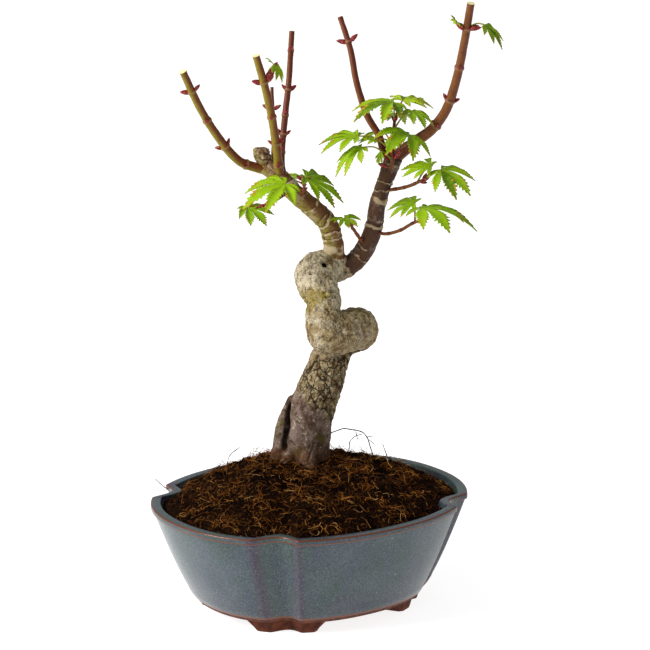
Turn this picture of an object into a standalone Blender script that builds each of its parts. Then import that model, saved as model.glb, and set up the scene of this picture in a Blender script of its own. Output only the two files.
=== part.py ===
# A Japanese maple bonsai in early spring, in a glazed pot with four notched corners.
# The trunk twists once, forks into two boughs, and those carry six shoots that were cut back,
# with opposite buds and a few young leaves. X runs to the tree's right and Y away from its front.
# Stations along limbs are (x, y, z, radius) in millimetres, from the pot's centre on its stand.

import math
import random

import bmesh
import bpy
from mathutils import Matrix, Vector, noise
from mathutils.bvhtree import BVHTree

MM = 0.001
SEAT_GAP = 0.3 * MM  # between a limb and what carries it
SEAT_SPARE = 1.15  # widens that gap where the carrier's surface is bent
UP = Vector((0, 0, 1))
SHARP_EDGE = math.radians(35)  # edges bent more than this stay sharp: on fired clay
SOFT_EDGE = math.radians(60)  # and on what grew

# Pot
POT_HALF_LENGTH = 85 * MM
POT_HALF_WIDTH = 72.4 * MM
POT_FULLNESS = 2.18  # 2 is an ellipse, a larger number is squarer
POT_TURN = math.radians(35.7)  # long side against the tree's front
POT_HEIGHT = 57.7 * MM
POT_WALL = 5.3 * MM
POT_FLOOR = 6 * MM
BASE_HEIGHT = 6 * MM  # the body's underside, above the feet
BASE_SCALE = 0.715  # the foot of the wall against the rim
WALL_BULGE = 0.78  # 1 is a straight flare, less is rounder
RIM_BAND = 3 * MM
RIM_EASE = 0.6 * MM
NOTCH_ANGLE = math.radians(41.8)
NOTCH_HALF_WIDTH = 11.6 * MM
NOTCH_DEPTH = 7.4 * MM
NOTCH_POINTS = 7
LOBE_POINTS = 8
DRAIN_RADIUS = 8 * MM
DRAIN_SIDES = 24
FOOT_HALF_LENGTH = 21 * MM
FOOT_WIDTH = 9 * MM
FOOT_LEVELS = [  # height, share of the foot's length, inset from the wall
    (0, 0.82, 2.6 * MM),
    (1.2 * MM, 0.86, 2.0 * MM),
    (8 * MM, 1, 1.4 * MM),
]
FOOT_SHARES = [-1, -0.85, -0.55, -0.3, 0, 0.3, 0.55, 0.85, 1]
BASE_EASE = 0.975  # the underside against the foot of the wall
WALL_START = 1.8 * MM  # above the underside
WALL_SHARES = [0.0, 0.12, 0.3, 0.52, 0.76]  # heights of the wall's rings, up to the rim band
INNER_SHARES = [0.12, 0.45, 0.75, 1.0]  # and of the inner wall's, down to the floor

# Soil
SOIL_EDGE = 55 * MM
SOIL_PEAK = 73.7 * MM
SOIL_SEAT_SHARE = 0.3  # of the way from the trunk to the wall, level for the trunk to stand on
SOIL_LUMPS = 1.2 * MM
SOIL_LUMP_SIZES = [(11 * MM, 0.6), (4.5 * MM, 0.4)]  # size and share of the coarse and the fine lumps
SOIL_FULLNESS = 1.5  # how far the top bulges on its way down, and how much less at the back
SOIL_BACK_LOSS = 0.5
SOIL_SIDE_HEIGHTS = [27.7 * MM, 41.7 * MM]
SOIL_WALL_GAP = 0.5 * MM
SOIL_RINGS = 6

# Trunk
TRUNK_FOOT = Vector((-4, 16)) * MM
TRUNK_STATIONS = [
    (-2.4, 16, 66, 13.0),
    (-2.0, 16, 79, 12.6),
    (-0.3, 16, 94, 12.4),
    (3.3, 15, 107, 11.9),
    (7.9, 15, 119, 10.9),
    (11.0, 17, 128.5, 10.2),
    (16.0, 21, 136, 9.4),
    (24.3, 21, 140.5, 10.7),
    (23.6, 10, 145.5, 10.8),
    (17.0, 1, 145.5, 11.1),
    (9.9, -3, 146.1, 11.2),
    (7.0, -1, 153.5, 9.3),
    (7.5, 4, 161.7, 8.8),
    (4.1, 9, 168.5, 10.5),
    (3.5, 13, 173.7, 11.0),
    (8.5, 18, 177, 8.7),
    (13.1, 20, 178, 7.2),
]
# Roots that flare out of the trunk's foot: heading in degrees, reach, height where it leaves, radius,
# and flare (less than 1 leaves the trunk steeply and runs down, more runs down and then out)
TRUNK_ROOTS = [
    (188, 12.4, 104, 5.2, 0.5),
    (232, 15, 88, 4.2, 1.3),
    (283, 18, 87, 4.6, 1.3),
    (335, 12, 85, 4.5, 1.3),
    (35, 13.6, 91, 4.9, 1.3),
    (95, 17, 90, 5.0, 1.3),
    (140, 17, 95, 5.0, 1.1),
]
ROOT_START = 5  # from the trunk's middle
ROOT_DEPTH = 3  # of its end, below the soil's peak
ROOT_SHARES = [0, 0.35, 0.7, 1]
ROOT_TAPER = 0.3
LIMB_STEP = 1.5 * MM  # between the balls that the trunk is fused from
TRUNK_VOXEL = 1.1 * MM
TRUNK_TRIANGLES = 2500
GROUND_REACH = 60 * MM  # of the block that cuts the trunk flat at the soil
BARK_LUMPS = 0.5 * MM
BARK_LUMP_SIZE = 9 * MM
SCAR_PLACE = (8.8, 9.5, 179.5)
SCAR_RADIUS = 3.2
SCAR_DEPTH = 1.8 * MM

# Boughs
LEFT_BOUGH = [
    (13.2, 19, 174, 5.7),
    (12.6, 18, 182, 5.5),
    (12.1, 16, 191, 5.1),
    (9.0, 13, 200.9, 5.1),
    (1.1, 9, 209.9, 5.0),
    (-7.5, 6, 218.1, 4.75),
    (-14.7, 5, 226.2, 4.4),
    (-22.4, 6, 232.3, 4.3),
]
LEFT_STUMP = [(-20.5, 6.5, 229.5, 3.6), (-23, 7.8, 234.5, 4.0), (-24.6, 8.3, 239.4, 4.4), (-24.8, 8.4, 241.5, 3.1)]
RIGHT_BOUGH = [
    (13.0, 20.5, 173.5, 5.7),
    (18.4, 21, 175.2, 5.5),
    (24.6, 20, 180, 5.3),
    (29.8, 18, 188, 5.0),
    (33.3, 16, 198.5, 4.6),
    (35.3, 14, 211.2, 4.25),
    (38.4, 13, 221.4, 4.1),
    (41.6, 12, 230.5, 4.4),
    (43.4, 12, 235.5, 4.6),
]

BOUGH_STEP = 4 * MM
BOUGH_SIDES = 10
STUMP_STEP = 2.5 * MM
STUMP_SIDES = 9

# Shoots: stations, then the shares of their length where a pair of buds grows,
# and whether the first pair faces sideways.
SHOOTS = {
    "left_outer_shoot": {
        "on": "left_bough",
        "stations": [
            (-20.0, 6, 230.2, 2.6),
            (-26.5, 6, 231.2, 2.55),
            (-36.6, 3, 236.0, 2.35),
            (-47.6, -3, 250.7, 2.15),
            (-55.9, -9, 266.3, 2.0),
            (-63.7, -16, 285.3, 1.9),
        ],
        "nodes": [0.17, 0.37, 0.6, 0.84],
        "first_sideways": False,
    },
    "left_middle_shoot": {
        "on": "left_bough",
        "stations": [
            (-14.6, 4, 226, 2.4),
            (-15.6, 2, 231, 2.35),
            (-16.9, -1, 244, 2.25),
            (-19.6, -5, 262.5, 2.1),
            (-23.0, -9, 278.4, 2.0),
            (-26.9, -13, 292.9, 1.85),
        ],
        "nodes": [0.12, 0.29, 0.5, 0.78],
        "first_sideways": True,
    },
    "left_back_shoot": {
        "on": "left_bough",
        "stations": [
            (-13.2, 7, 226, 1.8),
            (-14.4, 12.5, 232, 1.75),
            (-14.2, 17, 240, 1.7),
            (-12.5, 23, 257.2, 1.65),
            (-10.7, 28, 273.1, 1.55),
            (-9.2, 34, 297.7, 1.45),
        ],
        "nodes": [0.19, 0.31, 0.44, 0.61, 0.87],
        "first_sideways": False,
    },
    "left_thin_shoot": {
        "on": "left_bough",
        "stations": [
            (-18.6, 6.5, 229.5, 1.15),
            (-18.8, 13, 235, 1.05),
            (-18.7, 19, 246, 1.0),
            (-19.5, 27, 269.6, 0.9),
        ],
        "nodes": [0.75],
        "first_sideways": True,
    },
    "right_inner_shoot": {
        "on": "right_bough",
        "stations": [
            (41.8, 11.5, 234, 2.0),
            (38.2, 10, 239, 1.95),
            (35.6, 12, 247, 1.85),
            (29.5, 16, 257, 1.8),
            (24.4, 21, 272.3, 1.7),
            (20.8, 27, 290, 1.55),
            (15.7, 33, 305.1, 1.45),
        ],
        "nodes": [0.37, 0.83],
        "first_sideways": False,
    },
    "right_outer_shoot": {
        "on": "right_bough",
        "stations": [
            (43.2, 12, 234.5, 3.3),
            (47.5, 12.5, 238.4, 3.3),
            (54.2, 12, 243.7, 3.0),
            (63.3, 9, 251.5, 2.75),
            (70.2, 5, 262.7, 2.5),
            (75.0, 0, 279.6, 2.3),
            (78.2, -5, 297.4, 2.1),
            (81.2, -11, 319.2, 1.95),
        ],
        "nodes": [0.29, 0.45, 0.64, 0.86],
        "first_sideways": False,
    },
}
SHOOT_SIDES = 7
SHOOT_STEP = 7 * MM
NODE_SWELL = 1.16  # a ring of old bud scars is this much thicker than the shoot
NODE_LENGTH = 1.5 * MM
BUD_LENGTH = 4.4 * MM
BUD_RADIUS = 1.15 * MM
BUD_LEAN = math.radians(46)  # away from the shoot
TOP_BUD_LENGTH = 6.2 * MM  # the last pair of a shoot has begun to open
TOP_BUD_LEAN = math.radians(62)
BUD_SHAPE = [(-0.25, 0.8), (0.4, 1.0), (1.0, 0.12)]  # share of its length, share of its radius
BUD_SIDES = 5
BUD_SEAT = 0.7  # of the shoot's radius, where a bud begins

# Leaves: a palm of pointed lobes, (turn from the middle lobe in degrees, share of its length)
LOBES = [(-112, 0.38), (-70, 0.68), (-34, 0.9), (0, 1.0), (34, 0.9), (70, 0.68), (112, 0.38)]
LOBE_HALF_WIDTH = 0.138  # of the lobe's own length
LOBE_WAIST = 0.5  # share of a lobe where it is widest
LOBE_REACH = (0.92, 1.0)  # chance in a lobe's length
CLEFT = 0.27  # how far out the clefts between lobes begin
BACK_TURN = 50  # from the last lobe to the blade's back edge, in degrees
BACK_LIMIT = 172
BACK_REACH = 0.08
LEAF_THICKNESS = 0.5 * MM
STALK_RADIUS = 0.5 * MM
STALK_SIDES = 5
STALK_ARCH = 0.15  # how high a stalk arches, as a share of its length
STALK_BEND = 0.55  # share of the stalk where it arches
STALK_END = 0.6 * MM  # past the blade's base
TWIG_STEP = 4 * MM
STEM_SIDES = 6
CLEARANCE = 0.35 * MM  # between a leaf and any limb or other mass
TIP_LEAF_SEED = 5

# Foliage masses: the bough that carries each, its stem, and its leaves as
# (share of the stem where the stalk leaves, place of the blade's base, (heading, dip, roll) in degrees,
# length, droop, how wide the lobes spread).
MASSES = {
    "left_leaves": {
        "on": "left_bough",
        "stem": [(-9.5, 5, 220.5, 0.95), (-12.5, -3, 219.5, 0.9), (-19, -5, 216, 0.8), (-26, -5, 213, 0.7)],
        "leaves": [
            (0.42, (-12.2, -11.5, 226.8), (-147, 5, -16), 24.4, 0.31, 1.0),
            (1.0, (-31.4, -6, 213.4), (-45, 20, 12), 15.5, 0.1, 1.05),
        ],
        "seed": 11,
    },
    "left_back_leaves": {
        "on": "left_bough",
        "stem": [(-1, 9, 213, 0.8), (-2.5, 16, 218, 0.7), (-4, 21, 222, 0.6)],
        "leaves": [
            (1.0, (-4.5, 24, 223.5), (70, 10, 5), 17, 0.35, 1.0),
            (0.8, (-9, 20, 221), (165, 12, -8), 13, 0.35, 1.0),
        ],
        "seed": 12,
    },
    "middle_leaves": {
        "on": "left_bough",
        "stem": [(-4, 7, 215.5, 0.85), (-3.2, 0.5, 220.5, 0.75), (-2.2, -3, 226, 0.65)],
        "leaves": [
            (1.0, (-1.8, -4, 228.5), (8, 28, 18), 23.5, 0.1, 0.9),
        ],
        "seed": 13,
    },
    "fork_leaves": {
        "on": "right_bough",
        "stem": [(29, 17.5, 187.5, 0.9), (24.1, 10, 196, 0.85), (21.4, 6, 201, 0.75)],
        "leaves": [
            (1.0, (18.2, 2, 205.9), (-40, 6, 20), 9.5, 0.2, 1.1),
            (0.75, (16.2, 5.5, 205.2), (-165, 0, 0), 7, 0.25, 1.0),
        ],
        "seed": 14,
    },
    "lower_right_leaves": {
        "on": "right_bough",
        "stem": [
            (33, 16, 196.5, 0.95),
            (38.6, 11.5, 195.4, 0.9),
            (46.4, 6, 198.4, 0.9),
            (52.8, 2, 203, 0.85),
            (58, -1, 206, 0.75),
        ],
        "leaves": [
            (1.0, (57.6, -4, 212.4), (-13, -6, 0), 27.8, 0.48, 1.12),
            (0.85, (54, -1, 214.4), (155, 5, -24), 15, 0.22, 0.92),
        ],
        "seed": 15,
    },
    "upper_right_leaves": {
        "on": "right_bough",
        "stem": [
            (37.8, 13, 218, 0.95),
            (43.2, 9.5, 219.3, 0.95),
            (50.5, 2, 222.5, 0.9),
            (58, -2, 226.6, 0.8),
        ],
        "leaves": [
            (1.0, (67.1, -5, 232.5), (-40, 4, 14), 20.5, 0.42, 0.95),
            (0.85, (62.5, -3, 234.1), (160, 1, -20), 18.1, 0.22, 0.78),
        ],
        "seed": 16,
    },
    "crown_leaves": {
        "on": "right_bough",
        "stem": [(42.4, 9.5, 229.5, 1.1), (42.4, 4.6, 235, 1.0), (42.8, 4.2, 246, 0.9), (43.4, 5, 256, 0.8)],
        "leaves": [
            (0.2, (50.6, -3, 250.6), (-118, -10, -20), 23.2, 0.41, 1.15),
            (0.45, (24.9, 2, 248.8), (165, 1, -8), 21.8, 0.25, 0.85),
            (0.3, (26.4, -1, 243.5), (-163, 24, -8), 16, 0.4, 0.9),
            (0.6, (34, 1.5, 246.6), (165, -15, 0), 10, 0.3, 0.9),
            (1.0, (42.9, 4, 266), (-142, -10, -10), 23.4, 0.42, 0.95),
            (1.0, (47.6, 10, 265.6), (50, -5, 8), 19.7, 0.25, 0.92),
            (0.85, (52.6, 2, 261.9), (-60, 10, -8), 13, 0.3, 1.0),
            (0.7, (45.5, 20, 257), (79, 8, 0), 15, 0.35, 1.0),
            (0.5, (37, 20, 247), (120, 2, 0), 13, 0.35, 1.0),
        ],
        "seed": 17,
    },
}

# Small leaves that open at the shoots' top nodes: the shoot, the share of its length, then as above
TIP_LEAVES = [
    ("right_outer_shoot", 0.86, (88.4, -10, 308.1), (-24, 39, 0), 12.6, 0.25, 1.0),
    ("right_outer_shoot", 0.86, (75.5, -9.5, 307.5), (-157, -50, 0), 7.5, 0.25, 1.0),
    ("left_middle_shoot", 0.78, (-17.6, -11.5, 288), (-25, 55, 0), 9, 0.25, 1.0),
]
TIP_LEAF_LOBES = LOBES[1:-1]


def mm(values):
    """A place given in millimetres, as a vector in metres."""
    return Vector(values[:3]) * MM


# ---- meshes, modifiers and materials ----


def clear_scene():
    for thing in list(bpy.data.objects):
        bpy.data.objects.remove(thing)


def make_material(name, colour, roughness):
    material = bpy.data.materials.new(name)
    material.use_nodes = True
    shader = material.node_tree.nodes["Principled BSDF"]
    shader.inputs["Base Color"].default_value = (*colour, 1)
    shader.inputs["Roughness"].default_value = roughness
    shader.inputs["Metallic"].default_value = 0
    return material


def make_object(name, points, faces, material=None):
    mesh = bpy.data.meshes.new(name)
    mesh.from_pydata([tuple(p) for p in points], [], faces)
    thing = bpy.data.objects.new(name, mesh)
    bpy.context.scene.collection.objects.link(thing)
    if material:
        mesh.materials.append(material)
    face_outward(mesh)
    return thing


def face_outward(mesh):
    work = bmesh.new()
    work.from_mesh(mesh)
    bmesh.ops.recalc_face_normals(work, faces=work.faces)
    work.to_mesh(mesh)
    work.free()


def shade(thing, sharp_angle):
    thing.data.shade_smooth()
    thing.data.set_sharp_from_angle(angle=sharp_angle)


def apply_modifiers(thing):
    graph = bpy.context.evaluated_depsgraph_get()
    finished = bpy.data.meshes.new_from_object(thing.evaluated_get(graph))
    thing.modifiers.clear()
    thing.data = finished


def cut(thing, other, solver="EXACT"):
    """Cuts a thing by another and keeps the result as its mesh."""
    modifier = thing.modifiers.new("cut", "BOOLEAN")
    modifier.operation = "DIFFERENCE"
    modifier.solver = solver
    modifier.object = other
    apply_modifiers(thing)
    bpy.data.objects.remove(other)


def join_all(thing, others, solver="EXACT"):
    """Joins a list of closed pieces onto a thing in one union."""
    group = bpy.data.collections.new(thing.name + "_pieces")
    bpy.context.scene.collection.children.link(group)
    for other in others:
        bpy.context.scene.collection.objects.unlink(other)
        group.objects.link(other)
    modifier = thing.modifiers.new("join", "BOOLEAN")
    modifier.operation = "UNION"
    modifier.solver = solver
    modifier.operand_type = "COLLECTION"
    modifier.collection = group
    apply_modifiers(thing)
    for other in others:
        bpy.data.objects.remove(other)
    bpy.data.collections.remove(group)
    drop_scraps(thing)


def drop_scraps(thing):
    """Keeps the largest connected body of a mesh."""
    work = bmesh.new()
    work.from_mesh(thing.data)
    left = set(work.verts)
    bodies = []
    while left:
        body = {left.pop()}
        edge_of_search = set(body)
        while edge_of_search:
            vert = edge_of_search.pop()
            near = {edge.other_vert(vert) for edge in vert.link_edges} - body
            body |= near
            edge_of_search |= near
        left -= body
        bodies.append(body)
    bodies.sort(key=len)
    for body in bodies[:-1]:
        bmesh.ops.delete(work, geom=list(body), context="VERTS")
    work.to_mesh(thing.data)
    work.free()


def surface(thing):
    """A tree of a thing's faces, for distances to it."""
    return BVHTree.FromPolygons(
        [v.co for v in thing.data.vertices],
        [tuple(p.vertices) for p in thing.data.polygons],
    )


def swollen_copy(thing):
    """A copy that stands proud of a thing by the seat gap all over."""
    mesh = thing.data.copy()
    copy = bpy.data.objects.new(thing.name + "_swollen", mesh)
    bpy.context.scene.collection.objects.link(copy)
    normals = [Vector(v.normal) for v in mesh.vertices]
    for vert, normal in zip(mesh.vertices, normals):
        vert.co += normal * SEAT_GAP * SEAT_SPARE
    return copy


def seat(limb, *carriers):
    """Cuts a limb's root back to the seat gap from what carries it."""
    for carrier in carriers:
        cut(limb, swollen_copy(carrier), "MANIFOLD")  # EXACT fails where a swollen copy crosses itself
    drop_scraps(limb)


# ---- curves and tubes ----


def smooth_path(stations, step):
    """Points and radii along a smooth curve through a limb's stations."""
    places = [mm(s) for s in stations]
    radii = [s[3] * MM for s in stations]
    at = [0.0]
    for a, b in zip(places, places[1:]):
        at.append(at[-1] + (b - a).length)

    def slope(values, i):
        low = max(i - 1, 0)
        high = min(i + 1, len(values) - 1)
        return (values[high] - values[low]) / (at[high] - at[low])

    def between(values, i, s):
        span = at[i + 1] - at[i]
        a, b = values[i], values[i + 1]
        ma, mb = slope(values, i) * span, slope(values, i + 1) * span
        return (
            a * (2 * s**3 - 3 * s**2 + 1)
            + ma * (s**3 - 2 * s**2 + s)
            + b * (3 * s**2 - 2 * s**3)
            + mb * (s**3 - s**2)
        )

    path = []
    for i in range(len(places) - 1):
        count = max(1, round((at[i + 1] - at[i]) / step))
        for k in range(count):
            s = k / count
            path.append((between(places, i, s), between(radii, i, s)))
    path.append((places[-1], radii[-1]))
    return path


def path_lengths(path):
    at = [0.0]
    for (a, _), (b, _) in zip(path, path[1:]):
        at.append(at[-1] + (b - a).length)
    return at


def path_point(path, share):
    """The place, direction and radius at a share of a path's length."""
    at = path_lengths(path)
    wanted = share * at[-1]
    i = 0
    while i < len(at) - 2 and at[i + 1] < wanted:
        i += 1
    s = (wanted - at[i]) / (at[i + 1] - at[i])
    place = path[i][0].lerp(path[i + 1][0], s)
    direction = (path[i + 1][0] - path[i][0]).normalized()
    radius = path[i][1] * (1 - s) + path[i + 1][1] * s
    return place, direction, radius


def add_nodes(path, shares):
    """Swells a path at the shares of its length where buds sit."""
    length = path_lengths(path)[-1]
    marked = list(zip(path_lengths(path), path))
    for share in shares:
        for offset, swell in ((-NODE_LENGTH, 1), (0, NODE_SWELL), (NODE_LENGTH, 1)):
            place, _, radius = path_point(path, share + offset / length)
            marked.append((share * length + offset, (place, radius * swell)))
    centres = [share * length for share in shares]

    def kept(at, entry):
        near = min((abs(at - centre) for centre in centres), default=length)
        return near > NODE_LENGTH * 1.4 or entry not in path

    marked = [(at, entry) for at, entry in marked if kept(at, entry)]
    marked.sort(key=lambda pair: pair[0])
    return [entry for _, entry in marked]


def tube(name, path, sides, material=None):
    """A closed tube along a path, with flat ends."""
    points = []
    side = None
    for i, (place, radius) in enumerate(path):
        before = path[max(i - 1, 0)][0]
        after = path[min(i + 1, len(path) - 1)][0]
        along = (after - before).normalized()
        if side is None:
            side = along.orthogonal().normalized()
        side = (side - along * side.dot(along)).normalized()
        across = along.cross(side)
        for k in range(sides):
            turn = 2 * math.pi * k / sides
            points.append(place + (side * math.cos(turn) + across * math.sin(turn)) * radius)
    return make_object(name, points, tube_faces(len(path), sides), material)


def tube_faces(rings, sides):
    """Faces of a stack of rings, closed by one flat face at each end."""
    faces = [list(range(sides))[::-1]]
    for i in range(rings - 1):
        for k in range(sides):
            a = i * sides + k
            b = i * sides + (k + 1) % sides
            faces.append([a, b, b + sides, a + sides])
    faces.append([(rings - 1) * sides + k for k in range(sides)])
    return faces


# ---- pot and soil ----


def oval_radius(angle):
    """The pot's rim without its notches, as a distance from the centre."""
    along = abs(math.cos(angle) / POT_HALF_LENGTH) ** POT_FULLNESS
    across = abs(math.sin(angle) / POT_HALF_WIDTH) ** POT_FULLNESS
    return (along + across) ** (-1 / POT_FULLNESS)


def notch_centres():
    return [NOTCH_ANGLE, math.pi - NOTCH_ANGLE, math.pi + NOTCH_ANGLE, 2 * math.pi - NOTCH_ANGLE]


def rim_radius(angle):
    """The rim with its notches."""
    radius = oval_radius(angle)
    for centre in notch_centres():
        away = (angle - centre + math.pi) % (2 * math.pi) - math.pi
        share = away * oval_radius(centre) / NOTCH_HALF_WIDTH
        if abs(share) < 1:
            radius -= NOTCH_DEPTH * math.cos(share * math.pi / 2)
    return radius


def rim_angles():
    """Angles around the pot, close together in the notches and at their corners."""
    angles = []
    centres = notch_centres()
    for i, centre in enumerate(centres):
        half = NOTCH_HALF_WIDTH / oval_radius(centre)
        for k in range(NOTCH_POINTS):
            angles.append(centre - half + 2 * half * k / (NOTCH_POINTS - 1))
        following = centres[(i + 1) % 4] + (2 * math.pi if i == 3 else 0)
        start = centre + half
        stop = following - half
        for k in range(1, LOBE_POINTS + 1):
            angles.append(start + (stop - start) * k / (LOBE_POINTS + 1))
    return angles


def pot_point(angle, radius, height):
    turned = angle + POT_TURN
    return Vector((radius * math.cos(turned), radius * math.sin(turned), height))


def wall_scale(height):
    """How wide the pot is at a height, against its rim."""
    share = max(0.0, (height - BASE_HEIGHT) / (POT_HEIGHT - BASE_HEIGHT))
    return BASE_SCALE + (1 - BASE_SCALE) * share**WALL_BULGE


def pot_ring(height, scale, inset=0.0):
    return [pot_point(a, rim_radius(a) * scale - inset, height) for a in rim_angles()]


def inner_ring(height, extra=0.0):
    return pot_ring(height, wall_scale(height), POT_WALL + extra)


def foot(index):
    """One foot under a notch, longer at its top than where it stands."""
    centre = notch_centres()[index]
    half = FOOT_HALF_LENGTH / (oval_radius(centre) * BASE_SCALE)
    widest = FOOT_LEVELS[0][2]
    points = []
    for height, length, inset in FOOT_LEVELS:
        angles = [centre + share * half * length for share in FOOT_SHARES]
        outer = [(a, rim_radius(a) * BASE_SCALE - inset) for a in angles]
        inner = [(a, r - FOOT_WIDTH + (widest - inset) / 2) for a, r in reversed(outer)]
        points += [pot_point(a, r, height) for a, r in outer + inner]
    return make_object("foot", points, tube_faces(len(FOOT_LEVELS), 2 * len(FOOT_SHARES)))


def build_pot():
    clay = make_material("glazed_pot", (0.16, 0.24, 0.28), 0.3)
    band_foot = POT_HEIGHT - RIM_BAND
    rings = [pot_ring(BASE_HEIGHT, BASE_SCALE * BASE_EASE)]
    for share in WALL_SHARES:
        height = BASE_HEIGHT + WALL_START + (band_foot - BASE_HEIGHT - WALL_START) * share
        rings.append(pot_ring(height, wall_scale(height)))
    rings.append(pot_ring(band_foot, 1.0, RIM_EASE))
    rings.append(pot_ring(band_foot + RIM_EASE, 1.0))
    rings.append(pot_ring(POT_HEIGHT - RIM_EASE, 1.0))
    rings.append(pot_ring(POT_HEIGHT, 1.0, RIM_EASE))
    rings.append(pot_ring(POT_HEIGHT, 1.0, POT_WALL))
    floor_top = BASE_HEIGHT + POT_FLOOR
    for share in INNER_SHARES:
        rings.append(inner_ring(POT_HEIGHT + (floor_top - POT_HEIGHT) * share))
    count = len(rings[0])
    points = [point for ring in rings for point in ring]
    pot = make_object("pot", points, tube_faces(len(rings), count), clay)
    drain_path = [(Vector((0, 0, 0)), DRAIN_RADIUS), (Vector((0, 0, 2 * floor_top)), DRAIN_RADIUS)]
    drain = tube("drain", drain_path, DRAIN_SIDES)
    cut(pot, drain)
    join_all(pot, [foot(i) for i in range(4)])
    shade(pot, SHARP_EDGE)
    return pot


def soil_height(point, share):
    """The soil's top, from the level seat round the trunk down to the rim; fuller in front than behind."""
    if share <= SOIL_SEAT_SHARE:
        return SOIL_PEAK
    fall = (share - SOIL_SEAT_SHARE) / (1 - SOIL_SEAT_SHARE)
    away = Vector((point.x, point.y)) - TRUNK_FOOT
    fullness = SOIL_FULLNESS - SOIL_BACK_LOSS * away.y / away.length
    height = SOIL_EDGE + (SOIL_PEAK - SOIL_EDGE) * (1 - fall**fullness)
    lumps = sum(noise.noise(point / size) * share for size, share in SOIL_LUMP_SIZES)
    return height + SOIL_LUMPS * lumps * (1 - fall) * (4 * fall + 0.5)


def build_soil():
    peat = make_material("soil", (0.07, 0.035, 0.02), 0.95)
    heights = [BASE_HEIGHT + POT_FLOOR + SEAT_GAP, *SOIL_SIDE_HEIGHTS, SOIL_EDGE]
    rings = [inner_ring(height, SOIL_WALL_GAP) for height in heights]
    edge = rings[-1]
    foot_place = Vector((TRUNK_FOOT.x, TRUNK_FOOT.y, SOIL_EDGE))
    for i in range(1, SOIL_RINGS + 1):
        share = 1 - (1 - SOIL_SEAT_SHARE) * i / SOIL_RINGS
        ring = [foot_place.lerp(point, share) for point in edge]
        rings.append([Vector((p.x, p.y, soil_height(p, share))) for p in ring])
    points = [point for ring in rings for point in ring]
    soil = make_object("soil", points, tube_faces(len(rings), len(edge)), peat)
    shade(soil, SOFT_EDGE)
    return soil


# ---- trunk and limbs ----


def ball_chain(path):
    """Closed balls strung along a path, for a remesh to fuse."""
    work = bmesh.new()
    for place, radius in path:
        bmesh.ops.create_icosphere(work, subdivisions=2, radius=radius, matrix=Matrix.Translation(place))
    return work


def root_stations(heading, reach, height, radius, flare):
    """A root that leaves the trunk at a height and runs down and out to the soil."""
    turn = math.radians(heading)
    foot_x = TRUNK_FOOT.x / MM
    foot_y = TRUNK_FOOT.y / MM
    end = SOIL_PEAK / MM - ROOT_DEPTH
    stations = []
    for share in ROOT_SHARES:
        out = ROOT_START + (reach - ROOT_START) * share**flare
        down = height + (end - height) * share
        size = radius * (1 - ROOT_TAPER * (1 - share))
        stations.append((foot_x + out * math.cos(turn), foot_y + out * math.sin(turn), down, size))
    return stations


def build_trunk():
    bark = make_material("trunk", (0.36, 0.31, 0.22), 0.85)
    paths = [smooth_path(TRUNK_STATIONS, LIMB_STEP)]
    for root in TRUNK_ROOTS:
        paths.append(smooth_path(root_stations(*root), LIMB_STEP))
    work = ball_chain([entry for path in paths for entry in path])
    mesh = bpy.data.meshes.new("trunk")
    work.to_mesh(mesh)
    work.free()
    trunk = bpy.data.objects.new("trunk", mesh)
    bpy.context.scene.collection.objects.link(trunk)
    fuse = trunk.modifiers.new("fuse", "REMESH")
    fuse.mode = "VOXEL"
    fuse.voxel_size = TRUNK_VOXEL
    ease = trunk.modifiers.new("ease", "SMOOTH")
    ease.factor = 0.5
    ease.iterations = 3
    apply_modifiers(trunk)
    scar = Vector(SCAR_PLACE) * MM
    for vert in trunk.data.vertices:
        push = BARK_LUMPS * noise.noise(vert.co / BARK_LUMP_SIZE)
        dent = max(0.0, 1 - (vert.co - scar).length / (SCAR_RADIUS * MM))
        vert.co += Vector(vert.normal) * (push - SCAR_DEPTH * dent)
    thin = trunk.modifiers.new("thin", "DECIMATE")
    thin.ratio = TRUNK_TRIANGLES / (2 * len(trunk.data.polygons))
    apply_modifiers(trunk)
    trunk.data.materials.append(bark)
    cut_level = SOIL_PEAK + SEAT_GAP
    below = [
        Vector((TRUNK_FOOT.x + x * GROUND_REACH, TRUNK_FOOT.y + y * GROUND_REACH, z))
        for z in (0, cut_level)
        for x, y in ((-1, -1), (1, -1), (1, 1), (-1, 1))
    ]
    cut(trunk, make_object("ground", below, tube_faces(2, 4)))
    drop_scraps(trunk)
    shade(trunk, SOFT_EDGE)
    return trunk


def build_boughs(trunk):
    left_bark = make_material("left_bough", (0.3, 0.27, 0.13), 0.7)
    right_bark = make_material("right_bough", (0.16, 0.09, 0.07), 0.6)
    left = tube("left_bough", smooth_path(LEFT_BOUGH, BOUGH_STEP), BOUGH_SIDES, left_bark)
    join_all(left, [tube("stump", smooth_path(LEFT_STUMP, STUMP_STEP), STUMP_SIDES)])
    seat(left, trunk)
    right = tube("right_bough", smooth_path(RIGHT_BOUGH, BOUGH_STEP), BOUGH_SIDES, right_bark)
    seat(right, trunk, left)
    for bough in (left, right):
        shade(bough, SOFT_EDGE)
    return {"left_bough": left, "right_bough": right}


def bud(place, direction, length):
    """A pointed bud, its root sunk in the shoot."""
    path = [(place + direction * (s * length), w * BUD_RADIUS) for s, w in BUD_SHAPE]
    return tube("bud", path, BUD_SIDES)


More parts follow.
